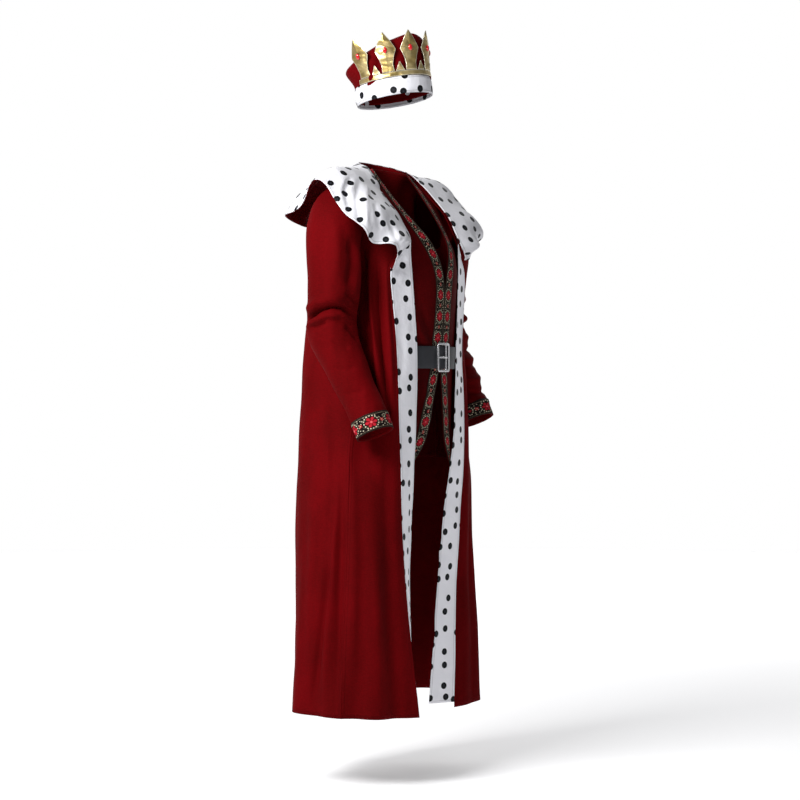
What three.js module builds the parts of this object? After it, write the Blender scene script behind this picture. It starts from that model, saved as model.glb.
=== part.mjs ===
import * as THREE from 'three';

// A medieval king's stage costume in its worn form: an open robe with dotted satin bands and a
// ruffled cape collar, a waistcoat with woven trim, a buckled belt, and a hat with a gold crown.
// Millimetres, +Z up, front towards -Y, the wearer's right at -X. Heights in the tables are above
// the wearer's floor, and the part's origin is the middle of the neck.
const NECK_HEIGHT = 1540;

// Walls of the cloths, the gap at a seam, and the gap under a piece that lies on another
const CLOTH = 1.8;
const SATIN = 1.2;
const TRIM = 1.2;
const STRAP = 2.4;
const SEAM_GAP = 0.4;
const LAID_GAP = 0.3;

// Rings of the robe: half width, furthest back and front, squareness, and y of the side seam
const HEM_HEIGHT = 170;
const ARMPIT_HEIGHT = 1345;
const ROBE_RINGS = [
  { height: 170, half: 328, back: 190, front: -162, power: 2.4, seam: -48 },
  { height: 500, half: 298, back: 192, front: -156, power: 2.5, seam: -46 },
  { height: 820, half: 270, back: 195, front: -150, power: 2.6, seam: -40 },
  { height: 949, half: 250, back: 198, front: -148, power: 2.6, seam: -30 },
  { height: 1077, half: 226, back: 203, front: -146, power: 2.6, seam: -8 },
  { height: 1200, half: 214, back: 190, front: -144, power: 2.5, seam: 6 },
  { height: 1300, half: 207, back: 160, front: -140, power: 2.4, seam: 10 },
  { height: 1345, half: 206, back: 150, front: -136, power: 2.4, seam: 10 },
];
const ROBE_LEVELS = [170, 270, 370, 470, 570, 670, 770, 860, 940, 1015, 1085, 1155, 1220, 1275, 1315];
const FRONT_COLUMNS = 12;
const BACK_COLUMNS = 26;

// How much higher or lower the hem hangs than its level at each front edge and at the back
const HEM_RISE = { right: -2, left: -14, back: 20 };
const HEM_SIDE_SHARE = 0.2;
const SHOULDER_ROWS = 6;
const BACK_ROUND_FROM = 0.1;
const BACK_ROUND_TO = 0.55;
const BACK_HOLE_POWER = 4;

// Front edges of the robe: half the gap, y, and how far the band turns back from the edge, degrees
const RIGHT_EDGE = [
  { height: 170, gap: 97, y: -112, turn: -48 },
  { height: 390, gap: 92, y: -103, turn: -33 },
  { height: 545, gap: 90, y: -107, turn: -18 },
  { height: 700, gap: 91, y: -117, turn: -8 },
  { height: 820, gap: 95, y: -124, turn: -2 },
  { height: 1077, gap: 92, y: -128, turn: 11 },
  { height: 1280, gap: 112, y: -124, turn: 19 },
  { height: 1345, gap: 114, y: -118, turn: 22 },
];
const LEFT_EDGE = [
  { height: 170, gap: 80, y: -52, turn: -29 },
  { height: 310, gap: 80, y: -64, turn: -18 },
  { height: 440, gap: 81, y: -74, turn: -8 },
  { height: 540, gap: 82, y: -84, turn: -5 },
  { height: 700, gap: 86, y: -100, turn: -1 },
  { height: 820, gap: 88, y: -121, turn: 8 },
  { height: 975, gap: 88, y: -126, turn: 16 },
  { height: 1077, gap: 88, y: -128, turn: 21 },
  { height: 1280, gap: 110, y: -123, turn: 21 },
  { height: 1345, gap: 114, y: -118, turn: 22 },
];
const BAND_WIDTH = 75;
const BAND_TOP = 1275;

// Half of the neckline, from the top of the front edge to the shoulder seam and on to the nape
const NECKLINE = [
  { x: 114, y: -118, height: 1345 },
  { x: 121, y: -92, height: 1402 },
  { x: 120, y: -52, height: 1452 },
  { x: 107, y: -12, height: 1500 },
  { x: 96, y: 20, height: 1532 },
];
const BACK_NECK = [
  { x: 96, y: 20, height: 1532 },
  { x: 74, y: 55, height: 1547 },
  { x: 44, y: 79, height: 1554 },
  { x: 0, y: 87, height: 1556 },
];
const NECK_COLUMNS = 10;

// The armhole is an ellipse in an upright plane, and its top is the end of the shoulder seam.
const ARMHOLE = { x: 206, y: 10, height: 1417.5, halfHeight: 72.5, halfDepth: 68 };

// Soft upright folds of the robe: place across the panel, half width there, depth at the hem in
// mm, outwards where positive, and the height where the fold starts
const BACK_FOLDS = [
  { at: 0.075, width: 0.035, depth: -20, top: 700 },
  { at: 0.16, width: 0.045, depth: 4, top: 1000 },
  { at: 0.29, width: 0.05, depth: -20, top: 1200 },
  { at: 0.42, width: 0.05, depth: 10, top: 1150 },
  { at: 0.53, width: 0.045, depth: -18, top: 1250 },
  { at: 0.66, width: 0.05, depth: 12, top: 1100 },
  { at: 0.78, width: 0.045, depth: -18, top: 1150 },
  { at: 0.91, width: 0.04, depth: -14, top: 850 },
];
const RIGHT_FOLDS = [
  { at: 0.3, width: 0.09, depth: -12, top: 1250 },
  { at: 0.55, width: 0.1, depth: 8, top: 1150 },
  { at: 0.8, width: 0.08, depth: -10, top: 900 },
];
const LEFT_FOLDS = [
  { at: 0.35, width: 0.1, depth: -12, top: 1200 },
  { at: 0.7, width: 0.1, depth: -10, top: 1000 },
];

// Rings of the sleeves: middle, half width from the body outwards, half depth, how far the width
// rises from level, and how far the depth dips to the back, degrees
const RIGHT_SLEEVE = [
  { x: 206, y: 10, height: 1417.5, wide: 72.5, deep: 68, swing: 90, lean: 0 },
  { x: 226, y: 10, height: 1409, wide: 73, deep: 69, swing: 75, lean: 0 },
  { x: 248, y: 9, height: 1391, wide: 73, deep: 70, swing: 56, lean: 0 },
  { x: 263.5, y: 8, height: 1359, wide: 72, deep: 69, swing: 38, lean: 0 },
  { x: 268, y: 7, height: 1315, wide: 68, deep: 67, swing: 20, lean: 0 },
  { x: 267, y: 5, height: 1262, wide: 65, deep: 66, swing: 6, lean: 2 },
  { x: 267, y: 5, height: 1205, wide: 63, deep: 64, swing: 0, lean: 4 },
  { x: 266, y: 10, height: 1155, wide: 60, deep: 62, swing: 0, lean: 7 },
  { x: 266, y: 9, height: 1110, wide: 59, deep: 63, swing: 0, lean: 16 },
  { x: 264, y: -14, height: 1058, wide: 54, deep: 55, swing: 0, lean: 24 },
  { x: 261, y: -40, height: 1005, wide: 50, deep: 50, swing: 0, lean: 26 },
  { x: 258, y: -66, height: 957, wide: 47, deep: 47, swing: 0, lean: 26 },
  { x: 256, y: -88, height: 912, wide: 45, deep: 45, swing: 0, lean: 25 },
  { x: 254, y: -109, height: 866, wide: 44, deep: 44, swing: 0, lean: 24 },
];
const LEFT_SLEEVE = [
  { x: 206, y: 10, height: 1417.5, wide: 72.5, deep: 68, swing: 90, lean: 0 },
  { x: 226, y: 11, height: 1409, wide: 73, deep: 69, swing: 75, lean: 0 },
  { x: 248, y: 13, height: 1391, wide: 73, deep: 70, swing: 56, lean: 0 },
  { x: 263.5, y: 16, height: 1359, wide: 72, deep: 69, swing: 38, lean: 0 },
  { x: 268, y: 20, height: 1315, wide: 68, deep: 67, swing: 20, lean: 0 },
  { x: 267, y: 25, height: 1265, wide: 65, deep: 66, swing: 6, lean: 2 },
  { x: 267, y: 29, height: 1212, wide: 63, deep: 64, swing: 0, lean: 4 },
  { x: 266, y: 32, height: 1165, wide: 60, deep: 62, swing: 0, lean: 8 },
  { x: 266, y: 24, height: 1120, wide: 59, deep: 62, swing: 0, lean: 18 },
  { x: 264, y: 2, height: 1072, wide: 54, deep: 55, swing: 0, lean: 26 },
  { x: 261, y: -23, height: 1024, wide: 50, deep: 50, swing: 0, lean: 27 },
  { x: 258, y: -47, height: 979, wide: 47, deep: 47, swing: 0, lean: 27 },
  { x: 256, y: -69, height: 937, wide: 45, deep: 45, swing: 0, lean: 26 },
  { x: 254, y: -89, height: 895, wide: 44, deep: 44, swing: 0, lean: 24 },
];
const SLEEVE_COLUMNS = 18;
const SLEEVE_STEPS = 19;
const CUFF_START = 0.935;
const ARM_CLEARANCE = 18;
const ARM_CLEARANCE_FADE = 60;
const SLEEVE_HEAD_RINGS = 3;
const ARM_RELEASE = 80;
const ARM_RELEASE_DROP = 25;

// Half of the cape collar's outer edge from the nape over the shoulder to its front end, beside
// the points of its seam, and the direction in which the collar stands off the robe there
const CAPE_EDGE = [
  { x: 0, y: 226, height: 1395, liftX: 0, liftY: 1, liftZ: 0.5, wave: 20 },
  { x: 115, y: 220, height: 1400, liftX: 0.3, liftY: 1, liftZ: 0.6, wave: 20 },
  { x: 214, y: 172, height: 1406, liftX: 0.7, liftY: 0.8, liftZ: 0.9, wave: 20 },
  { x: 284, y: 78, height: 1462, liftX: 0.4, liftY: 0.3, liftZ: 1, wave: 14 },
  { x: 302, y: 5, height: 1472, liftX: 0.3, liftY: -0.1, liftZ: 1, wave: 12 },
  { x: 301, y: -64, height: 1388, liftX: 0.5, liftY: -0.5, liftZ: 1, wave: 12 },
  { x: 262, y: -98, height: 1344, liftX: 0.4, liftY: -0.9, liftZ: 0.6, wave: 16 },
  { x: 214, y: -120, height: 1327, liftX: 0.3, liftY: -1, liftZ: 0.3, wave: 16 },
  { x: 178, y: -122, height: 1312, liftX: 0.3, liftY: -1, liftZ: 0.2, wave: 10 },
  { x: 187, y: -110, height: 1270, liftX: 0.4, liftY: -1, liftZ: 0.1, wave: 6 },
];
const CAPE_END_HEIGHTS = [1315, BAND_TOP];
const CAPE_STAND = 2.2;
const CAPE_END_STAND = 4;
const CAPE_WAVES = 5;
const CAPE_BULGE = 150;
const CAPE_BULGE_POWER = 1.3;
const CAPE_WAVE_POWER = 1.5;
const CAPE_END_FROM = 0.68;
const CAPE_END_TO = 0.85;
const CAPE_TAPER = 0.3;
const CAPE_COLUMNS = 72;
const CAPE_ROWS = 4;

// Rings of the waistcoat: half width, furthest back and front, and half gap of its front edges
const VEST_RINGS = [
  { height: 775, half: 187, back: 116, front: -121, gap: 98 },
  { height: 800, half: 186, back: 115, front: -121, gap: 62 },
  { height: 870, half: 180, back: 112, front: -125, gap: 37 },
  { height: 950, half: 172, back: 106, front: -130, gap: 22 },
  { height: 1030, half: 165, back: 100, front: -135, gap: 0.3 },
  { height: 1056, half: 165, back: 100, front: -136, gap: 0.3 },
  { height: 1100, half: 166, back: 102, front: -139, gap: 0.3 },
  { height: 1225, half: 171, back: 112, front: -149, gap: 0.3 },
  { height: 1280, half: 172, back: 116, front: -151, gap: 12 },
  { height: 1330, half: 172, back: 116, front: -143, gap: 34 },
];
const VEST_LEVELS = [800, 835, 875, 925, 975, 1030, 1084, 1150, 1190, 1225, 1255, 1290];
const VEST_POWER = 2;
const VEST_ARMPIT = 1330;
const VEST_SIDE_Y = -12;
const VEST_TIP_X = 152;
const VEST_NECKLINE = [
  { x: 34, y: -138, height: 1330 },
  { x: 50, y: -112, height: 1375 },
  { x: 68, y: -70, height: 1424 },
  { x: 76, y: -25, height: 1480 },
  { x: 79, y: 18, height: 1532 },
];
const VEST_NAPE = [
  { x: 79, y: 18, height: 1532 },
  { x: 66, y: 48, height: 1536 },
  { x: 38, y: 66, height: 1540 },
  { x: 0, y: 72, height: 1541 },
];
const VEST_TRIM_WIDTH = 35;
const VEST_TRIM_COLUMNS = 2;
const VEST_FRONT_COLUMNS = 10;
const VEST_BACK_COLUMNS = 16;
const VEST_NECK_COLUMNS = 8;
const VEST_SHOULDER_ROWS = 5;
const VEST_POINT_DROP = 26;
const VEST_SEAT = 5.8;
const VEST_ARMHOLE_DEPTH = 44;
const SHOULDER_FADE = 1.6;
const VEST_SHOULDER_FADE = 2.2;
const VEST_LINE_BEND = 0.7;
const VEST_ROUND_TO = 0.6;
const VEST_HOLE_POWER = 5;

// Belt and buckle
const BELT_WIDTH = 56;
const BELT_MIDDLE = 1056;
const BELT_OFFSET = 2.2;
const BELT_STEPS = 48;
const TONGUE_START = 29;
const TONGUE_END = 80;
const TONGUE_STEPS = 3;
const TONGUE_GAP = 0.6;
const BUCKLE_WIDTH = 54;
const BUCKLE_HEIGHT = 73;
const BUCKLE_BAR = 5;
const BUCKLE_DEPTH = 4;
const BUCKLE_CORNER = 6;
const BUCKLE_INNER_X = 14;
const SLOT_INSET = 1;
const CORNER_STEPS = 3;
const PRONG_HALF = 2;
const PRONG_OPTIONS = { depth: 2.5, bevelEnabled: false };

// Hat: half sizes at the head, height of its lower edge, tilt back and turn in degrees
const HAT_HALF_WIDTH = 86;
const HAT_HALF_LENGTH = 102.5;
const HAT_HEIGHT = 1711;
const HAT_TILT = 9;
const HAT_TURN = 8;
const HAT_COLUMNS = 28;
const HAT_BAND_HEIGHT = 45;
const HAT_BAND_WALL = 2.5;
const CROWN_WALL = 1.6;
const CROWN_STRIP_TOP = 58;
const CROWN_END_ANGLE = 125;
const STRIP_STEPS = 28;
const ARC_SLACK = 6;
const UP = new THREE.Vector3(0, 0, 1);

// Tall points of the crown: place round the hat from its front, and lean outwards, degrees
const CROWN_POINTS = [
  { angle: -110, flare: 15 },
  { angle: -73, flare: 8 },
  { angle: -37, flare: 5 },
  { angle: 0, flare: 5 },
  { angle: 37, flare: 5 },
  { angle: 73, flare: 8 },
  { angle: 110, flare: 15 },
];

// Outline of a tall point above the strip, and how far its middle crease stands out
const CROWN_OUTLINE = [
  { up: 0, half: 15, crease: 0 },
  { up: 18, half: 13.5, crease: 0.5 },
  { up: 36, half: 18, crease: 1.5 },
  { up: 55, half: 26, crease: 3 },
  { up: 78, half: 15, crease: 2.5 },
  { up: 101, half: 1, crease: 1 },
];
const PEAK_OUTLINE = [
  { up: 0, half: 11, crease: 0 },
  { up: 12, half: 5.5, crease: 0.5 },
  { up: 23, half: 0.8, crease: 0 },
];
const GEM_ROW = 3;
const GEM_STEPS = 3;
const GEM_SIDES = 10;
const GEM = { wide: 5, thick: 3, tall: 8 };

// Rings of the velvet cap above the hat's lower edge, with the slope of each down to the back
const CAP_RINGS = [
  { up: 12, half: 83.1, front: -99.6, back: 99.6, slope: 0 },
  { up: 58, half: 83, front: -99.5, back: 99.5, slope: 0 },
  { up: 80, half: 83, front: -99, back: 111, slope: 3 },
  { up: 103, half: 86, front: -100, back: 120, slope: 7 },
  { up: 120, half: 86, front: -100, back: 119, slope: 12 },
  { up: 132, half: 76, front: -88, back: 100, slope: 16 },
  { up: 137, half: 55, front: -62, back: 70, slope: 18 },
  { up: 139, half: 28, front: -31, back: 36, slope: 18 },
];

const WINE = { color: 0x7d0c14, roughness: 0.75, metalness: 0 };
const WHITE_SATIN = { color: 0xebebf0, roughness: 0.35, metalness: 0 };
const JACQUARD = { color: 0x6a6868, roughness: 0.7, metalness: 0 };
const BLACK_LEATHER = { color: 0x2d2e32, roughness: 0.5, metalness: 0 };
const SILVER = { color: 0xc8c8cc, roughness: 0.25, metalness: 1 };
const GOLD_LAME = { color: 0xc8b478, roughness: 0.35, metalness: 0.8 };
const RED_GLASS = { color: 0xc8141e, roughness: 0.1, metalness: 0 };

const radians = THREE.MathUtils.degToRad;
const { lerp, smoothstep, clamp } = THREE.MathUtils;

// Value at x on a smooth curve through the points (xs, ys), with xs rising
function smooth(xs, ys, x) {
  const last = xs.length - 1;
  const inside = clamp(x, xs[0], xs[last]);
  let i = 0;
  while (i < last - 1 && xs[i + 1] < inside) {
    i += 1;
  }
  const slope = (k) => {
    const before = Math.max(k - 1, 0);
    const after = Math.min(k + 1, last);
    return (ys[after] - ys[before]) / (xs[after] - xs[before]);
  };
  const step = xs[i + 1] - xs[i];
  const t = (inside - xs[i]) / step;
  const s = t * t * (3 - 2 * t);
  const start = t * (1 - t) ** 2 * step * slope(i);
  const end = t * t * (t - 1) * step * slope(i + 1);
  return ys[i] + (ys[i + 1] - ys[i]) * s + start + end;
}

// Row of a table at a value of its key column, each column on a smooth curve
function rowAt(table, key, value) {
  const xs = table.map((row) => row[key]);
  const row = {};
  for (const column of Object.keys(table[0])) {
    row[column] = smooth(xs, table.map((entry) => entry[column]), value);
  }
  return row;
}

// Row of a table at a fraction of its length, counted in rows
function rowAlong(table, fraction) {
  const xs = table.map((_, index) => index);
  const row = {};
  for (const column of Object.keys(table[0])) {
    row[column] = smooth(xs, table.map((entry) => entry[column]), fraction * (table.length - 1));
  }
  return row;
}

function pointAlong(table, fraction) {
  const row = rowAlong(table, fraction);
  return new THREE.Vector3(row.x, row.y, row.height);
}

// Points along a curve given as a function of 0 to 1, at the distances that places gives for its
// whole length
const LENGTH_SAMPLES = 160;

function measured(curve, places) {
  const points = [];
  const lengths = [0];
  for (let k = 0; k <= LENGTH_SAMPLES; k += 1) {
    points.push(curve(k / LENGTH_SAMPLES));
    if (k > 0) {
      lengths.push(lengths[k - 1] + points[k].distanceTo(points[k - 1]));
    }
  }
  let k = 0;
  return places(lengths[LENGTH_SAMPLES]).map((wanted) => {
    while (k < LENGTH_SAMPLES - 1 && lengths[k + 1] < wanted) {
      k += 1;
    }
    const t = (wanted - lengths[k]) / (lengths[k + 1] - lengths[k]);
    return points[k].clone().lerp(points[k + 1], t);
  });
}

function evenly(curve, count) {
  const share = (_, i) => i / count;
  return measured(curve, (length) => Array.from({ length: count + 1 }, share).map((t) => t * length));
}

// Slope of a row of points at one of them, true to the second order at the ends too
function slopeAt(points, i, closed) {
  const last = points.length - 1;
  if (closed || (i > 0 && i < last)) {
    const after = points[(i + 1) % points.length];
    const before = points[(i + last) % points.length];
    return after.clone().sub(before);
  }
  if (last < 2) {
    return points[last].clone().sub(points[0]);
  }
  const sign = i === 0 ? 1 : -1;
  const [p, q, r] = [points[i], points[i + sign], points[i + 2 * sign]];
  const slope = q.clone().multiplyScalar(4).sub(r).addScaledVector(p, -3);
  return slope.multiplyScalar(sign);
}

// Unit normals of a grid of points, on the side that the sign picks
function normalsOf(grid, closed, sign) {
  return grid.map((row, j) => row.map((_, i) => {
    const across = slopeAt(row, i, closed);
    const up = slopeAt(grid.map((line) => line[i]), j, false);
    return across.cross(up).normalize().multiplyScalar(sign);
  }));
}

// Makes a grid's normals lie in a plane where a test says so, so that two rims can face
function flatten(normals, axis, test) {
  normals.forEach((line, j) => line.forEach((normal, i) => {
    if (test(i, j)) {
      normal[axis] = 0;
      normal.normalize();
    }
  }));
}

// Moves a grid of points along its normals
function moved(grid, normals, distance) {
  return grid.map((row, j) => row.map((p, i) => p.clone().addScaledVector(normals[j][i], distance)));
}

// Closed wall between an outer and an inner grid of points
function wall(outer, inner, closed) {
  const rows = outer.length;
  const columns = outer[0].length;
  const points = [...outer.flat(), ...inner.flat()];
  const inside = rows * columns;
  const index = [];
  const quad = (a, b, c, d) => index.push(a, b, c, a, c, d);
  const at = (j, i) => j * columns + (i % columns);
  const spans = closed ? columns : columns - 1;
  for (let j = 0; j < rows - 1; j += 1) {
    for (let i = 0; i < spans; i += 1) {
      const [a, b, c, d] = [at(j, i), at(j, i + 1), at(j + 1, i + 1), at(j + 1, i)];
      quad(a, b, c, d);
      quad(a + inside, d + inside, c + inside, b + inside);
    }
  }
  for (let i = 0; i < spans; i += 1) {
    const [a, b] = [at(0, i), at(0, i + 1)];
    const [c, d] = [at(rows - 1, i), at(rows - 1, i + 1)];
    quad(b, a, a + inside, b + inside);
    quad(c, d, d + inside, c + inside);
  }
  if (!closed) {
    for (let j = 0; j < rows - 1; j += 1) {
      const [a, b] = [at(j, 0), at(j + 1, 0)];
      const [c, d] = [at(j, columns - 1), at(j + 1, columns - 1)];
      quad(a, b, b + inside, a + inside);
      quad(d, c, c + inside, d + inside);
    }
  }
  return solid(points, index);
}

// Geometry of a closed body, turned so that its faces point out
function solid(points, index) {
  let volume = 0;
  for (let k = 0; k < index.length; k += 3) {
    const [a, b, c] = [points[index[k]], points[index[k + 1]], points[index[k + 2]]];
    volume += a.dot(b.clone().cross(c));
  }
  const faces = [];
  for (let k = 0; k < index.length; k += 3) {
    const [a, b, c] = [index[k], index[k + 1], index[k + 2]];
    faces.push(...(volume > 0 ? [a, b, c] : [a, c, b]));
  }
  const geometry = new THREE.BufferGeometry();
  const numbers = points.flatMap((p) => p.toArray());
  geometry.setAttribute('position', new THREE.Float32BufferAttribute(numbers, 3));
  geometry.setIndex(faces);
  geometry.computeVertexNormals();
  return geometry;
}

// Closed wall of a cap: its last ring is filled by a point on each face
function dome(outer, inner) {
  const columns = outer[0].length;
  const geometry = wall(outer, inner, true);
  const points = [...outer.flat(), ...inner.flat()];
  const sum = (row) => row.reduce((total, p) => total.add(p), new THREE.Vector3());
  const top = (grid) => sum(grid.at(-1)).divideScalar(columns);
  const rim = (outer.length - 1) * columns;
  const inside = outer.length * columns;
  const [outerTop, innerTop] = [points.length, points.length + 1];
  points.push(top(outer), top(inner));
  const faces = [...geometry.index.array].filter((_, k, all) => {
    const face = all.slice(k - (k % 3), k - (k % 3) + 3);
    return !face.every((v) => (v >= rim && v < inside) || v >= inside + rim);
  });
  for (let i = 0; i < columns; i += 1) {
    const next = (i + 1) % columns;
    faces.push(rim + i, rim + next, outerTop);
    faces.push(inside + rim + next, inside + rim + i, innerTop);
  }
  return solid(points, faces);
}

// Oval cabochon with a flat back, standing out along its own z
function gemGeometry() {
  const profile = [new THREE.Vector2(0, 0)];
  for (let k = 0; k < GEM_STEPS; k += 1) {
    const turn = (k / GEM_STEPS) * (Math.PI / 2);
    profile.push(new THREE.Vector2(Math.cos(turn), Math.sin(turn)));
  }
  profile.push(new THREE.Vector2(0, 1));
  const geometry = new THREE.LatheGeometry(profile, GEM_SIDES);
  geometry.rotateX(Math.PI / 2);
  geometry.scale(GEM.wide, GEM.tall, GEM.thick);
  return geometry;
}

const costume = new THREE.Group();
costume.position.z = -NECK_HEIGHT;

function add(group, name, geometry, finish) {
  const mesh = new THREE.Mesh(geometry, new THREE.MeshStandardMaterial(finish));
  mesh.name = name;
  group.add(mesh);
  return mesh;
}

// Point of a sleeve's ring, the angle counted from its outer end towards the back
function sleeveRingPoint(ring, side, angle) {
  const out = ring.wide * Math.cos(angle);
  const back = ring.deep * Math.sin(angle);
  const swing = radians(ring.swing);
  const lean = radians(ring.lean);
  return new THREE.Vector3(
    side * (ring.x + out * Math.cos(swing)),
    ring.y + back * Math.cos(lean),
    ring.height + out * Math.sin(swing) - back * Math.sin(lean),
  );
}

// Grid of a sleeve from the armhole to the wrist; the last step is as long as the cuff is wide
function sleeveGrid(side) {
  const grid = [];
  for (let j = 0; j <= SLEEVE_STEPS; j += 1) {
    const ring = rowAlong(sleeveRings(side), sleevePlace(j));
    const row = [];
    for (let i = 0; i < SLEEVE_COLUMNS; i += 1) {
      const point = sleeveRingPoint(ring, side, (2 * Math.PI * i) / SLEEVE_COLUMNS);
      point.x += j === 0 ? side * SEAM_GAP : 0;
      row.push(point);
    }
    grid.push(row);
  }
  return grid;
}

function sleeveRings(side) {
  return side < 0 ? RIGHT_SLEEVE : LEFT_SLEEVE;
}

function sleevePlace(step) {
  return step === SLEEVE_STEPS ? 1 : (step / (SLEEVE_STEPS - 1)) * CUFF_START;
}

// How far out the robe may reach beside the sleeve at a point, as the arm presses it in
function armLimit(side, y, height) {
  const table = sleeveRings(side).slice(SLEEVE_HEAD_RINGS).reverse();
  const ring = rowAt(table, 'height', height);
  const clear = ARM_CLEARANCE * smoothstep(ARMPIT_HEIGHT - height, 0, ARM_CLEARANCE_FADE);
  const deep = ring.deep / Math.cos(radians(ring.lean)) + clear;
  const from = Math.abs(y - ring.y) / deep;
  if (from >= 1) {
    return Infinity;
  }
  const past = smoothstep(table[0].height - ARM_RELEASE_DROP - height, 0, ARM_RELEASE);
  const wide = (ring.wide * Math.cos(radians(ring.swing)) + clear) * Math.sqrt(1 - from * from);
  return ring.x - wide + past * ARM_RELEASE;
}

function pressed(side, point) {
  const limit = armLimit(side, point.y, point.z);
  if (point.z < ARMPIT_HEIGHT && Math.abs(point.x) > limit) {
    point.x = side * limit;
  }
  return point;
}

// Point of a superellipse ring, the angle counted from the side towards the back
function ringPoint(ring, power, angle) {
  const middle = (ring.back + ring.front) / 2;
  const deep = (ring.back - ring.front) / 2;
  const cos = Math.max(Math.cos(angle), 0);
  const sin = Math.sin(angle);
  const x = ring.half * cos ** (2 / power);
  const y = middle + Math.sign(sin) * deep * Math.abs(sin) ** (2 / power);
  return new THREE.Vector3(x, y, ring.height);
}

// Angles at which a ring has a given y on its side, and a given x on its front
function angleAtY(ring, power, y) {
  const middle = (ring.back + ring.front) / 2;
  const deep = (ring.back - ring.front) / 2;
  const share = clamp((y - middle) / deep, -1, 1);
  return Math.asin(Math.sign(share) * Math.abs(share) ** (power / 2));
}

function angleAtX(ring, power, x) {
  return -Math.acos(clamp(x / ring.half, 0, 1) ** (power / 2));
}

// How far the folds of a table push a panel out at a fraction across it and a height
function foldDepth(folds, across, height) {
  let depth = 0;
  for (const fold of folds) {
    const near = Math.exp(-(((across - fold.at) / fold.width) ** 2));
    depth += fold.depth * near * smoothstep(fold.top - height, 0, fold.top - HEM_HEIGHT);
  }
  return depth;
}

// Pushes a level row of points out by its folds
function folded(row, folds, sign) {
  return row.map((point, i) => {
    const across = slopeAt(row, i, false).normalize();
    const out = new THREE.Vector3(across.y, -across.x, 0).multiplyScalar(sign);
    return point.clone().addScaledVector(out, foldDepth(folds, i / (row.length - 1), point.z));
  });
}

// Free edge of a front, and the line where its band meets the panel
function freeEdge(side, height) {
  const row = rowAt(side < 0 ? RIGHT_EDGE : LEFT_EDGE, 'height', height);
  return new THREE.Vector3(side * row.gap, row.y, height);
}

function bandDirection(side, height) {
  const turn = radians(rowAt(side < 0 ? RIGHT_EDGE : LEFT_EDGE, 'height', height).turn);
  return new THREE.Vector3(side * Math.cos(turn), Math.sin(turn), 0);
}

function bandWidthAt(height) {
  return BAND_WIDTH * (1 - clamp((height - BAND_TOP) / (ARMPIT_HEIGHT - BAND_TOP), 0, 1));
}

function bandSeam(side, height, gap) {
  const width = bandWidthAt(height) + gap;
  return freeEdge(side, height).addScaledVector(bandDirection(side, height), width);
}

// Level row of a robe front, from the band's seam to the side seam or as far back as y says
function frontRow(side, height, y) {
  const ring = rowAt(ROBE_RINGS, 'height', height);
  const start = bandSeam(side, height, SEAM_GAP);
  const from = angleAtX(ring, ring.power, Math.abs(start.x));
  const to = angleAtY(ring, ring.power, (y ?? ring.seam) - SEAM_GAP / 2);
  const first = ringPoint(ring, ring.power, from);
  const shift = new THREE.Vector3(Math.abs(start.x) - first.x, start.y - first.y, 0);
  const row = evenly((t) => {
    const point = ringPoint(ring, ring.power, lerp(from, to, t));
    return point.addScaledVector(shift, (1 - t) ** 3);
  }, FRONT_COLUMNS);
  const folds = side < 0 ? RIGHT_FOLDS : LEFT_FOLDS;
  const out = folded(row, folds, 1);
  const edge = side < 0 ? HEM_RISE.right : HEM_RISE.left;
  return out.map((point, i) => {
    point.z += height === HEM_HEIGHT ? lerp(edge, HEM_RISE.back * HEM_SIDE_SHARE, i / FRONT_COLUMNS) : 0;
    return pressed(side, point.setX(side * point.x));
  });
}

// Level row of the robe's back, from the right side seam or the given y to the left one
function backRow(height, y) {
  const ring = rowAt(ROBE_RINGS, 'height', height);
  const from = angleAtY(ring, ring.power, (y ?? ring.seam) + SEAM_GAP / 2);
  const row = evenly((t) => {
    const side = t < 0.5 ? -1 : 1;
    const point = ringPoint(ring, ring.power, lerp(from, Math.PI / 2, 1 - Math.abs(2 * t - 1)));
    return point.setX(side * point.x);
  }, BACK_COLUMNS);
  return folded(row, BACK_FOLDS, -1).map((point, i) => {
    const middle = 1 - Math.abs((2 * i) / BACK_COLUMNS - 1);
    point.z += height === HEM_HEIGHT ? HEM_RISE.back * lerp(HEM_SIDE_SHARE, 1, middle) : 0;
    return pressed(Math.sign(point.x) || 1, point);
  });
}

// Point between a level row and the shoulder, on a quarter of an ellipse; round is 0 where the
// cloth rises straight to its top edge and 1 where it rolls over the shoulder
function shoulderPoint(low, high, up, round) {
  const turn = (up * Math.PI) / 2;
  const rise = lerp(up, Math.sin(turn), round);
  return new THREE.Vector3(
    lerp(low.x, high.x, up),
    lerp(high.y, low.y, Math.cos(turn)),
    lerp(low.z, high.z, rise),
  );
}

function armholePoint(side, up, towards) {
  const turn = up * Math.PI;
  return new THREE.Vector3(
    side * ARMHOLE.x,
    ARMHOLE.y + towards * ARMHOLE.halfDepth * Math.sin(turn),
    ARMHOLE.height - ARMHOLE.halfHeight * Math.cos(turn),
  );
}

function tablePoint(row, side) {
  return new THREE.Vector3(side * row.x, row.y, row.height);
}

// Rows of a front between the armpit's level and the shoulder seam: each row runs from the neck
// edge to the armhole, and the chest's bulge below fades out on the way up
function shoulderRows(low, lineAt, holeAt, count, fade) {
  const last = low.length - 1;
  const bulge = low.map((point, i) => point.clone().sub(lineAt(0).lerp(holeAt(0), i / last)));
  const rows = [];
  for (let j = 0; j <= count; j += 1) {
    const up = j / count;
    const row = low.map((_, i) => {
      const point = lineAt(up).lerp(holeAt(up), i / last);
      return point.addScaledVector(bulge[i], (1 - up) ** fade);
    });
    row.forEach((point) => {
      point.y -= (SEAM_GAP / 2) * up;
    });
    rows.push(row);
  }
  return rows;
}

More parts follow.
